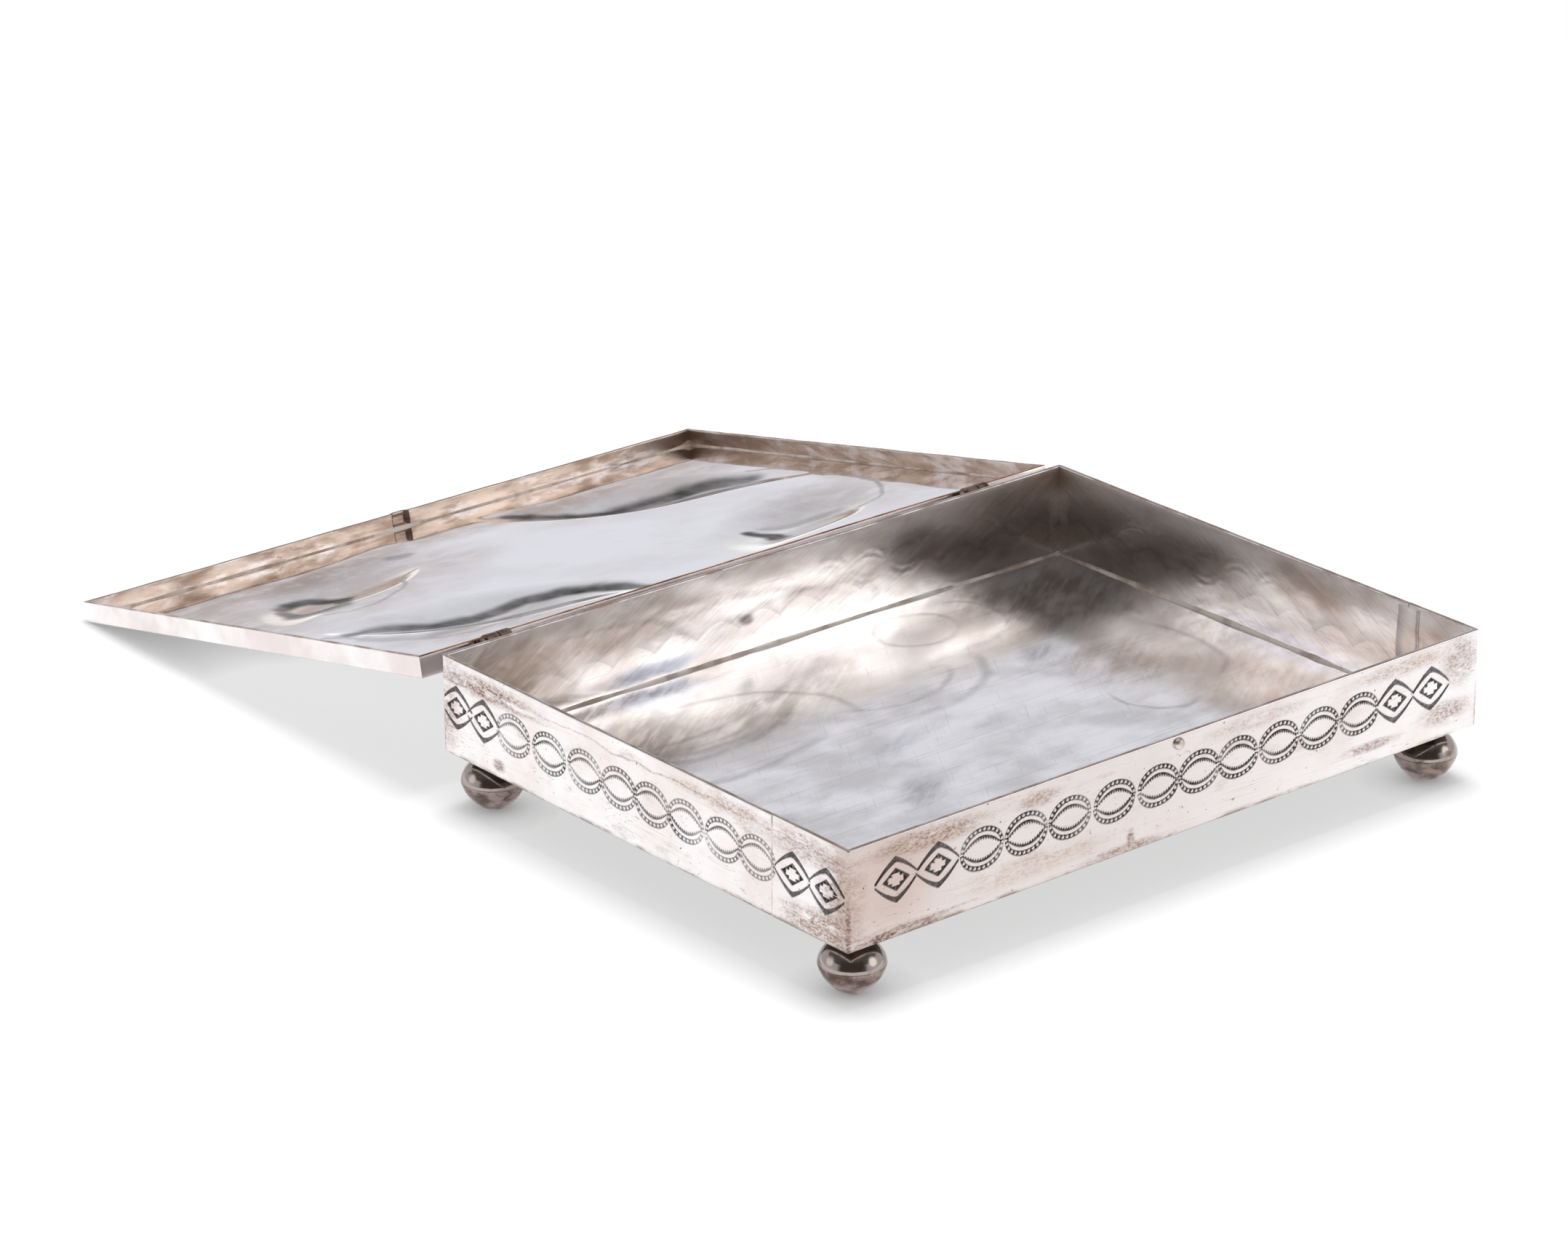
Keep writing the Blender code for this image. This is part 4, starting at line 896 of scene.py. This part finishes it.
def innerFillet():  # thin run of solder where the walls meet the floor
    s, inset = filletForm, wallForm["sheet"]

    def section(walked, _):
        grow = 1 + s["wave"] * smoothNoise(walked, 0, 9, 21) + s["fineWave"] * smoothNoise(walked, 0, 3, 22)
        reach = s["reach"] * grow
        return [(-s["sunk"], -0.5), (reach, -0.15), (reach * 0.45, 0.12), (0.16, reach * 0.45), (0.0, reach),
                (-s["sunk"], reach)]

    low, high = (trayLeft + inset, trayFront + inset), (trayRight - inset, trayBack - inset)
    rings = solderRun(low, high, floorTop, s["pitch"], s["pitch"], section)
    addPiece("floorSolderLine", rings, [innerSolder], "tray", "inside", closed=True, sharpDegrees=70.0)


def sideRing(side, place, height, shape):  # a loop on a wall: its points are along from place, and inwards
    middle, along, inward = (np.array(part, float) for part in sideFrames[side][:3])
    return [(*(middle + along * (place + a) + inward * b), height) for a, b in shape]


seamForm = {"rows": 40, "halfWidth": 0.30, "widthWave": 0.10, "drift": 0.12, "deep": 0.9}


def seamLine(name, side, place):  # the butt joint between the wall strips, filled with solder
    s, rings = seamForm, []
    for h in np.linspace(0.15, trayRim - trayLow - 0.12, s["rows"]):
        wide = s["halfWidth"] + s["widthWave"] * smoothNoise(h, 0, 3, 31)
        drift = s["drift"] * smoothNoise(h, 5, 6, 32)
        edge = [(-1, 0.12), (-0.4, 0.05), (0.4, 0.05), (1, 0.12), (1, s["deep"]), (-1, s["deep"])]
        rings.append(sideRing(side, place + drift, trayLow + h, [(wide * a, b) for a, b in edge]))
    addPiece(name, rings, [seamSolder], "tray", "outside")


strapForm = {"width": 6.0, "sheet": 0.6, "rowPitch": 0.7, "edgeWave": 0.45, "edgeCell": 3.0, "faceWave": 0.06}


def seamStrap(name, side, place, node):  # patch behind a joint, its edges swollen with solder
    s, wall = strapForm, wallForm["sheet"]
    rings = []
    for h in np.arange(floorTop + 0.05, cornerMm(node, 1)[2], s["rowPitch"]):
        left = s["width"] / 2 + s["edgeWave"] * smoothNoise(h, 0, s["edgeCell"], 41)
        right = s["width"] / 2 + s["edgeWave"] * smoothNoise(h, 9, s["edgeCell"], 42)
        face = wall + s["sheet"] + s["faceWave"] * smoothNoise(h, 3, 5, 43)
        edge = [(0.55, wall - 0.2), (0.35, wall + 0.12), (0, face - 0.12), (-0.35, face)]
        shape = [(-left - a, b) for a, b in edge] + [(0, face + 0.03)]
        rings.append(sideRing(side, place, h, shape + [(right + a, b) for a, b in edge[::-1]]))
    addPiece(name, rings, [insideSilver], "tray", "inside", [node], sharpDegrees=60.0)


trayFloor()
innerFillet()
for side, place in seamPlaces.items():
    seamLine("wallSeam" + side.capitalize(), side, place)
for side, place in seamPlaces.items():
    seamStrap("seamStrap" + side.capitalize(), side, place, "seam_strap_" + side)
print("floor and seams made")


# ---- feet and catch ----
beadForm = {
    "sheet": 0.7, "segments": 96, "collarSegments": 48, "arcPoints": 22, "upperPower": 1.74,
    "lowerPower": 1.56, "flat": 2.6, "seamGap": 0.02, "upperLip": 0.16, "lowerLip": 0.15,
    "collar": ((2.2, -0.75), (3.4, -0.35), (4.2, 0.28), (0.9, 0.28)),  # radius, height from the foot's top
}


def turned(profile, segments):  # rings of one (radius, height) profile about Z
    turns = np.linspace(0, 2 * math.pi, segments, endpoint=False)
    return np.array([[(r * math.cos(t), r * math.sin(t), h) for t in turns] for r, h in profile])


def beadProfiles(radius, seam, height):  # the upper half, hollow, and the lower one, flat where it stands
    b, gap = beadForm, beadForm["seamGap"]
    aboveSeam, belowSeam = seam + b["upperLip"], seam - b["lowerLip"]

    def dome(tall, power, least):
        turns = np.linspace(0, math.pi / 2, b["arcPoints"])
        wides, talls = (radius - 0.06) * np.cos(turns) ** (2 / power), tall * np.sin(turns) ** (2 / power)
        return [(r, h) for r, h in zip(wides, talls) if least < r < radius - 0.1]

    upper = [(radius - 0.35, seam + gap), (radius - 0.05, seam + gap), (radius, aboveSeam)]
    upper += [(r, aboveSeam + h) for r, h in dome(height - seam - b["upperLip"], b["upperPower"], 0.9)]
    upper += [(0.85, height - 0.02), (0.85, height - 0.6), (radius - b["sheet"] - 0.2, seam + gap)]
    lower = [(radius - 0.35, seam - gap), (radius - 0.05, seam - gap), (radius, belowSeam)]
    reach = seam / (1 - (b["flat"] / radius) ** b["lowerPower"]) ** (1 / b["lowerPower"])
    squeeze = belowSeam / seam
    lower += [(r, belowSeam - h * squeeze) for r, h in dome(reach, b["lowerPower"], b["flat"])]
    lower += [(b["flat"], 0.05), (b["flat"] - 0.25, 0.0), (0.05, 0.0)]
    return upper, lower


def beadFeet():
    for end in ("front_left", "front_right", "back_left", "back_right"):
        nodes = ["foot_" + end + "_upper", "foot_" + end + "_lower"]
        low, high = cornerMm(nodes[1], 0), cornerMm(nodes[0], 1)
        seam = (cornerMm(nodes[1], 1)[2] + cornerMm(nodes[0], 0)[2]) / 2
        upper, lower = beadProfiles((high[0] - low[0]) / 2, seam, high[2])
        collar = [(r, high[2] + h) for r, h in beadForm["collar"]]
        place = Matrix.Translation((*((low + high) / 2 * mm)[:2], 0))
        for part, profile, segments, metal, closed, replaced in (
                ("Upper", upper, beadForm["segments"], beadUpperSilver, True, nodes[:1]),
                ("Lower", lower, beadForm["segments"], beadLowerSilver, False, nodes[1:]),
                ("Solder", collar, beadForm["collarSegments"], seamSolder, True, [])):
            name = "bead" + part + end.title().replace("_", "")
            rings = turned(profile, segments)
            addPiece(name, rings, [metal], "tray", "bead", replaced, closed=closed, place=place)


catchForm = {"segments": 40, "arcPoints": 12, "sunk": 0.35, "foot": 1.02, "ring": 1.05, "ringDeep": 0.1}


def catchBead():  # half of a small bead, slightly flattened, set in a ring of solder
    c = catchForm
    low, high = cornerMm("catch_bead", 0), cornerMm("catch_bead", 1)
    radius, proud = (high[0] - low[0]) / 2, high[1] - low[1]
    angles = np.linspace(0, math.pi / 2, c["arcPoints"])[:-1]
    profile = [(0.05, -c["sunk"]), (radius * c["foot"], -c["sunk"]), (radius * c["ring"], -c["ringDeep"])]
    profile += [(radius * math.cos(a), proud * math.sin(a)) for a in angles] + [(0.05, proud)]
    place = Matrix.Translation(((low[0] + high[0]) / 2 * mm, high[1] * mm, (low[2] + high[2]) / 2 * mm))
    place = place @ Matrix.Rotation(math.pi / 2, 4, "X")
    rings = turned(profile, c["segments"])
    addPiece("catchBead", rings, [brightEdgeSilver], "tray", "outside", ["catch_bead"], place=place,
             sharpDegrees=70.0)


beadFeet()
catchBead()
print("feet and catch made")


# ---- lid ----
# The lid is drawn closed, about the hinge axis, and then swung over to where it rests
lidForm = {
    "sheet": 0.9, "clearance": 0.3, "depth": 4.1, "gap": 0.3, "belowAxis": 1.0, "backFace": 2.45,
    "platePitch": 0.62, "lobeHeight": 2.3, "lobePlace": (0.50, 0.445), "lobeHalfLength": 0.38,
    "lobeHalfWidth": 0.28, "lobeNearWidth": 0.27, "lobeFall": 0.12, "lobeHook": 0.24, "lobeSoftness": 1.6,
    "plateWave": 0.06, "heldMargin": 8, "stripPitch": 1.2, "edgeRound": 0.22, "mitre": 0.05,
    "stripWave": 0.10, "edgeWave": 0.10, "stillEnds": 6,
}
wrap = lidForm["clearance"] + lidForm["sheet"]
lidHalfLength, lidHalfDepth = halfLength + wrap, halfDepth + wrap
lidBack = -lidForm["backFace"]
lidFront = lidBack - 2 * lidHalfDepth
lidMiddle = (lidBack + lidFront) / 2
lidLow = -lidForm["belowAxis"]
plateIn = lidLow + lidForm["depth"]
plateOut = plateIn + lidForm["sheet"]
lidReach = -lidFront - 0.2
lidTilt = math.asin(axisZ / math.hypot(lidReach, plateOut)) - math.atan2(plateOut, lidReach)
lidPlace = Matrix.Translation((axisX * mm, axisY * mm, axisZ * mm))
lidPlace = lidPlace @ Matrix.Rotation(-math.pi - lidTilt, 4, "X")


def lobeRise(x, y, plateHalfLength, plateHalfDepth):
    f = lidForm
    run = (np.abs(x) / plateHalfLength - f["lobePlace"][0]) / f["lobeHalfLength"]
    middle = f["lobePlace"][1] - f["lobeFall"] * run - f["lobeHook"] * run ** 3
    across = np.abs(y) / plateHalfDepth - middle
    near = across * np.sign(y) > 0  # the sides towards the hinges are creased, the others fade out
    across = across / np.where(near, f["lobeNearWidth"], f["lobeHalfWidth"])
    inside = np.clip(1 - run ** 2 - across ** 2, 0, 1)
    return f["lobeHeight"] * inside ** f["lobeSoftness"]


# Dark in the lobes, partly tarnish left when the plate was buffed and partly painted reflection of the dark
# room: along it, and from the hinge side, in mm
lidPatinaAndReflectionForm = {
    "wander": 1.6, "wanderCell": 7, "softEdge": 1.3, "level": 0.80, "fine": 0.10, "coarse": 0.22,
    "crease": 0.4, "creaseHalfWidth": 0.8, "haze": 0.24,
}
lidDarkStreaks = [  # (place along, place across, half width) of each point, then the amount
    (((18, 120, 3.0), (21, 115, 4.6), (25, 108, 6.2), (29, 103, 6.8), (35, 100, 6.8), (41, 99, 6.8),
      (49, 99, 6.4), (57, 99, 5.8), (63, 96, 5.6), (68, 90, 3.6)), 0.9),
    (((-76, 55, 4.0), (-70, 53, 5.4), (-64, 49, 5.6), (-57, 45, 5.2), (-50, 43, 3.8), (-42, 43, 3.6),
      (-35, 43, 3.5), (-27, 39, 3.6), (-21, 33, 3.2), (-18, 22, 2.8), (-16, 16, 2.0)), 0.8),
    (((-77, 47, 2.3), (-74, 39, 2.8), (-68, 32, 3.4), (-61, 30, 3.4), (-53, 30, 2.8)), 0.5),
    (((-64, 97, 3.2), (-59, 100, 3.8), (-53, 100, 4.4), (-51, 94, 3.4), (-54, 86, 2.4)), 0.9),
    (((-66, 93, 3.0), (-67, 85, 3.4), (-63, 81, 3.2), (-57, 82, 2.4)), 0.85),
    (((33, 41, 2.8), (33, 37, 3.8), (31, 28, 2.4)), 0.9),
    (((39, 43, 3.0), (45, 42, 3.2), (55, 40, 3.3)), 0.3),
    (((-20, 116, 2.6), (-18, 113, 2.8)), 0.4),
]
lidCreases = [
    ((-66, 77), (-61, 73), (-53, 74), (-42, 81), (-30, 94), (-25, 96)),
    ((74, 95), (82, 87), (82, 69), (78, 49), (69, 36), (58, 33)),
    ((-80, 58), (-76, 42), (-68, 28), (-60, 24), (-45, 25), (-33, 23)),
]


def streakMask(x, s, points, narrow=1.0):  # 1 along a wandering stroke, 0 beyond its half width
    p = lidPatinaAndReflectionForm
    moveX, moveS = (p["wander"] * smoothNoise(x, s, p["wanderCell"], seed) for seed in (91, 92))
    x, s = x + moveX, s + moveS
    mask = np.zeros_like(x)
    for (x0, s0, *wide), (x1, s1, *_) in zip(points, points[1:]):
        run = np.array((x1 - x0, s1 - s0), float)
        t = np.clip(((x - x0) * run[0] + (s - s0) * run[1]) / run.dot(run), 0, 1)
        away = np.hypot(x - x0 - t * run[0], s - s0 - t * run[1])
        mask = np.maximum(mask, np.clip(p["softEdge"] - away / (wide[0] if wide else narrow), 0, 1))
    return mask * mask * (3 - 2 * mask)


def lidPatinaAndReflection(x, s, rise):  # darkness at each point; the lobes themselves are a little hazy
    p, dark = lidPatinaAndReflectionForm, np.zeros_like(x)
    for points, amount in lidDarkStreaks:
        patchy = p["level"] + p["fine"] * smoothNoise(x, s, 3.5, 93) + p["coarse"] * smoothNoise(x, s, 11, 94)
        dark = np.maximum(dark, streakMask(x, s, points) * amount * patchy)
    for points in lidCreases:
        dark = np.maximum(dark, streakMask(x, s, points, p["creaseHalfWidth"]) * p["crease"])
    return np.clip(dark + p["haze"] * np.sqrt(rise / lidForm["lobeHeight"]), 0, 1)


def lidPlate():
    f = lidForm
    halfX, halfY = lidHalfLength - f["sheet"] - f["gap"], lidHalfDepth - f["sheet"] - f["gap"]
    xs = np.linspace(-halfX, halfX, int(2 * halfX / f["platePitch"]))
    ys = np.linspace(-halfY, halfY, int(2 * halfY / f["platePitch"]))
    gx, gy = np.meshgrid(xs, ys, indexing="ij")
    rise = lobeRise(gx, gy, halfX, halfY)
    loose = np.clip(np.minimum(halfX - np.abs(gx), halfY - np.abs(gy)) / f["heldMargin"], 0, 1)
    wave = f["plateWave"] * (smoothNoise(gx, gy, 31, 51) + 0.5 * smoothNoise(gx, gy, 13, 52)) * loose
    outer = plateOut + rise + np.minimum(wave, 0)
    rings = sheetRings(xs, ys + lidMiddle, plateIn + rise + wave, outer)
    dark = lidPatinaAndReflection(rings[:, :, 0], -rings[:, :, 1], np.hstack([rise, rise[:, ::-1]]))
    metals, bands = [lidInsideSilver, lidOutsideSilver], np.repeat([1, 0], len(ys))
    addPiece("lidPlate", rings, metals, "lid", "lid", ["lid_plate"], bands=bands, values=dark, place=lidPlace)


recessForm = {
    "half": 1.6, "slope": 1.0, "lip": 0.95, "deep": 1.25, "lipHeight": 0.8, "topHeight": 4.1,
    "fineHalf": 3.2, "fineRings": 33,
}


def recessPush(x, height):  # the dent that takes the catch bead, pushed out of the front strip
    r = recessForm
    side = np.clip((r["half"] + r["slope"] - np.abs(x)) / r["slope"], 0, 1)
    fall = np.clip((r["topHeight"] - height) / r["slope"], 0, 1)
    step = np.clip((height - r["lipHeight"] / 2) / r["lipHeight"], 0, 1)
    smooth = side * side * (3 - 2 * side) * fall * fall * (3 - 2 * fall)
    return (r["lip"] + (r["deep"] - r["lip"]) * step) * smooth


def lidStrip(end, half, middle, turn, seed, metals, recess=False):  # one side of the rim
    f = lidForm
    tall, sheet, r = f["depth"] + f["sheet"], f["sheet"], f["edgeRound"]
    heights = np.linspace(r, tall - r, 11)
    section = [(0, h) for h in heights] + [(r * 0.3, tall - r * 0.3), (r, tall), (sheet, tall)]
    section += [(sheet, h) for h in heights[::-1]]
    section += [(sheet - r * 0.3, r * 0.3), (sheet - r, 0), (r, 0), (r * 0.3, r * 0.3)]
    offsets, rises = np.array(section).T
    bands = np.repeat([1, 0, 2], [14, 11, 4])
    xs = np.linspace(-half, half, int(2 * half / f["stripPitch"]))
    if recess:
        fine = recessForm["fineHalf"]
        close = np.linspace(-fine, fine, recessForm["fineRings"])
        xs = np.unique(np.concatenate([xs[np.abs(xs) > fine], close]))
    rings = []
    for x in xs:
        push = recessPush(x, rises) if recess else 0
        cut = (offsets + f["mitre"]) if abs(x) == half else 0
        near = np.clip((half - abs(x)) / f["stillEnds"], 0, 1)
        bow = f["stripWave"] * near * noiseAbove(x, 0, 27, seed)
        drop = f["edgeWave"] * near * noiseAbove(x, 3, 11, seed + 1) * (rises < 1)
        edge = x - math.copysign(1, x) * cut
        rings.append(np.stack([edge + 0 * rises, offsets - push + bow, lidLow + rises + drop], -1))
    place = lidPlace @ Matrix.Translation(Vector(middle) * mm) @ Matrix.Rotation(turn, 4, "Z")
    name, node = "lidStrip" + end, "lid_rim_" + end.lower()
    addPiece(name, rings, metals, "lid", "lid_rim", [node], bands=bands, place=place, sharpDegrees=50.0)


lidSolderForm = {"reach": 0.5, "wave": 0.3, "lump": 2.4, "lumpFade": 1.6, "margin": 0.6, "pitch": 1.1}


def lidSolder():  # thin line round the plate, and a lump in each corner
    f = lidSolderForm
    halfX, halfY = lidHalfLength - lidForm["sheet"], lidHalfDepth - lidForm["sheet"]

    def section(walked, toCorner):
        swell = f["lump"] * math.exp(-toCorner / f["lumpFade"])
        reach = f["reach"] * (1 + f["wave"] * smoothNoise(walked, 0, 8, 61)) + swell * 0.5
        return [(-0.2, 0.55), (-0.2, -reach), (0.0, -reach), (0.14, -reach * 0.4), (reach * 0.45, -0.1),
                (reach, 0.08), (reach, 0.55)]

    low, high = (-halfX, lidMiddle - halfY), (halfX, lidMiddle + halfY)
    rings = solderRun(low, high, plateIn, f["margin"], f["pitch"], section)
    addPiece("lidSolderLine", rings, [lidSolderSilver], "lid", "lid_rim", closed=True, place=lidPlace,
             sharpDegrees=70.0)


stripMetals = [lidRimSilver, lidEdgeSilver, brightEdgeSilver]
hingeStripMetals = [hingeRimSilver, lidEdgeSilver, hingeEdgeSilver]
lidPlate()
lidStrip("Front", lidHalfLength, (0, lidFront, 0), 0, 71, stripMetals, recess=True)
lidStrip("Back", lidHalfLength, (0, lidBack, 0), math.pi, 72, hingeStripMetals)
lidStrip("Left", lidHalfDepth, (-lidHalfLength, lidMiddle, 0), -math.pi / 2, 73, stripMetals)
lidStrip("Right", lidHalfDepth, (lidHalfLength, lidMiddle, 0), math.pi / 2, 74, stripMetals)
lidSolder()
print("lid made")


# ---- hinges: the CAD tubes and pins have the right shape and get the metal of drawn tube and wire ----
for name, node in frame["nodes"].items():
    if "knuckle" in name or "pin" in name:
        for slotPlace in node.material_slots:
            slotPlace.material = pinSilver if "pin" in name else tubeSilver
print("hinges dressed")


# ---- floor, light and camera ----
studio = {
    "floorSize": 6.0, "floorColour": "#A0A0A0", "floorGlow": 0.64, "farGlow": 0.78,
    "whiteFrom": 0.26, "whiteTo": 0.55,
    "bands": ((0.0, "#E2E2E8"), (0.42, "#E0E0E6"), (0.47, "#6A6866"), (0.78, "#6A6866"), (0.88, "#E6E6EA")),
    "roomDark": "#524B46", "cameraAzimuth": -39.7,
    "roomHalfWidth": 47.0, "roomSideBlur": 9.0, "roomTop": 44.0, "roomTopBlur": 6.0,  # degrees
    "softBoxes": (((0.59, -0.71, 0.37), 18.0, 0.95), ((-0.75, 0.56, 0.32), 17.0, 0.35)),  # way, radius, extra
    "contact": 0.010, "contactDark": 0.32,  # reach in metres and depth of the shade where a foot stands
    "lampPower": 21.0, "lampSize": 0.7, "lampPlace": (0.15, 0.07, 1.35),
}


def studioFloor():  # pale paper that shades near the box and turns white far from it
    half = studio["floorSize"] / 2
    corners = [(-half, -half, 0), (half, -half, 0), (half, half, 0), (-half, half, 0)]
    mesh = bpy.data.meshes.new("studioFloor")
    mesh.from_pydata(corners, [], [(0, 1, 2, 3)])
    material = bpy.data.materials.new("whitePaperFloor")
    material.use_nodes = True
    tree = material.node_tree
    tree.nodes.clear()
    coords = addNode(tree, "TexCoord", out="Object")
    away = addNode(tree, "VectorMath", {0: coords}, "Value", operation="LENGTH")
    far = fade(tree, away, studio["whiteFrom"], studio["whiteTo"])
    rays = addNode(tree, "LightPath", out=None)
    cameraRay = rays["Is Camera Ray"]
    seen = addNode(tree, "Math", {0: cameraRay, 1: rays["Is Glossy Ray"]}, operation="MAXIMUM")
    seen = addNode(tree, "Math", {0: seen, 1: rays["Is Transmission Ray"]}, operation="MAXIMUM")
    white = between(tree, cameraRay, studio["farGlow"], 1.0)
    bare = addNode(tree, "AmbientOcclusion", {"Distance": studio["contact"]}, "AO", samples=4)
    shade = times(tree, addNode(tree, "Math", {0: 1.0, 1: bare}, operation="SUBTRACT"), cameraRay)
    strength = times(tree, between(tree, far, studio["floorGlow"], white), seen,
                     between(tree, shade, 1.0, studio["contactDark"]))
    keep = addNode(tree, "Math", {0: 1.0, 1: times(tree, far, seen)}, operation="SUBTRACT")
    dark = addNode(tree, "BsdfDiffuse", {"Color": (0, 0, 0, 1)})
    paper = addNode(tree, "BsdfDiffuse", {"Color": hexToLinear(studio["floorColour"])})
    shaded = addNode(tree, "MixShader", {0: keep, 1: dark, 2: paper})
    glow = addNode(tree, "Emission", {"Strength": strength})
    addNode(tree, "OutputMaterial", {"Surface": addNode(tree, "AddShader", {0: shaded, 1: glow})}, None)
    mesh.materials.append(material)
    put("studioFloor", mesh)


def studioWorld():  # level bands of light, a dark room behind the camera, and soft boxes
    world = bpy.data.worlds.new("softStudio")
    bpy.context.scene.world = world
    world.use_nodes = True
    tree = world.node_tree
    tree.nodes.clear()
    way = addNode(tree, "TexCoord", out="Generated")
    x, y, z = addNode(tree, "SeparateXYZ", {0: way}, None)
    bands = addNode(tree, "ValToRGB", {0: z})
    ramp = bands.node.color_ramp
    for index, (height, code) in enumerate(studio["bands"]):
        stop = ramp.elements[index] if index < 2 else ramp.elements.new(height)
        stop.position, stop.color = height, hexToLinear(code)
    azimuth = math.radians(studio["cameraAzimuth"])
    cameraWay = (math.sin(azimuth), -math.cos(azimuth), 0)
    level = addNode(tree, "VectorMath", {0: addNode(tree, "CombineXYZ", {0: x, 1: y})}, operation="NORMALIZE")
    facing = addNode(tree, "VectorMath", {0: level, 1: cameraWay}, "Value", operation="DOT_PRODUCT")
    half, blur = studio["roomHalfWidth"], studio["roomSideBlur"]
    sideways = fade(tree, facing, cosine(half + blur), cosine(half - blur))
    fromTop, blur = 90 - studio["roomTop"], studio["roomTopBlur"]
    upwards = fade(tree, z, cosine(fromTop - blur), cosine(fromTop + blur))
    sky = tint(tree, bands, studio["roomDark"], sideways, upwards)
    strength = 1.0
    for spot, radius, extra in studio["softBoxes"]:
        middle = Vector(spot).normalized()
        near = addNode(tree, "VectorMath", {0: way, 1: middle}, "Value", operation="DOT_PRODUCT")
        glow = fade(tree, near, cosine(radius), cosine(radius * 0.6))
        sky = tint(tree, sky, "#FFFFFF", glow)
        strength = addNode(tree, "Math", {0: times(tree, glow, extra), 1: strength}, operation="ADD")
    cameraRay = addNode(tree, "LightPath", out="Is Camera Ray")
    shown = tint(tree, sky, (1, 1, 1, 1), cameraRay)
    strength = addNode(tree, "Mix", {0: cameraRay, 2: strength, 3: 1.0}, data_type="FLOAT")
    back = addNode(tree, "Background", {"Color": shown, "Strength": strength})
    addNode(tree, "OutputWorld", {"Surface": back}, None)


def studioLamp():
    data = bpy.data.lights.new("softBox", "AREA")
    data.shape = "DISK"
    data.size = studio["lampSize"]
    data.energy = studio["lampPower"]
    lamp = put("softBox", data)
    lamp.location = studio["lampPlace"]
    lamp.visible_glossy = False  # the metal mirrors the soft studio alone
    aim = Vector((0, 0, 0)) - lamp.location
    lamp.rotation_euler = aim.to_track_quat("-Z", "Y").to_euler()


# The camera stands where a fit of the tray's, lid's and feet's corners in the photograph puts it
cameraForm = {
    "azimuth": -39.682, "elevation": 22.112, "roll": -0.288, "lens": 127.33, "sensor": 36.0,
    "place": (-736.9, -827.8, 476.1),  # mm from the tray's middle, at the walls' lower edge
}


def photoCamera():
    c = cameraForm
    a, e, roll = (math.radians(c[key]) for key in ("azimuth", "elevation", "roll"))
    back = Vector((math.sin(a) * math.cos(e), -math.cos(a) * math.cos(e), math.sin(e)))
    right = (-back).cross(Vector((0, 0, 1))).normalized()
    up = right.cross(-back)
    turnedRight = right * math.cos(roll) + up * math.sin(roll)
    turnedUp = up * math.cos(roll) - right * math.sin(roll)
    data = bpy.data.cameras.new("photoCamera")
    data.lens, data.sensor_width, data.sensor_fit = c["lens"], c["sensor"], "HORIZONTAL"
    data.clip_start, data.clip_end = 0.01, 50.0
    camera = put("photoCamera", data)
    spot = Vector(c["place"]) * mm + Vector((0, trayMiddle * mm, trayLow * mm))
    facing = Matrix((turnedRight, turnedUp, back)).transposed().to_4x4()
    camera.matrix_world = Matrix.Translation(spot) @ facing
    bpy.context.scene.camera = camera


studioFloor()
studioWorld()
studioLamp()
photoCamera()
bpy.context.scene.view_settings.view_transform = "Standard"
print("studio made")
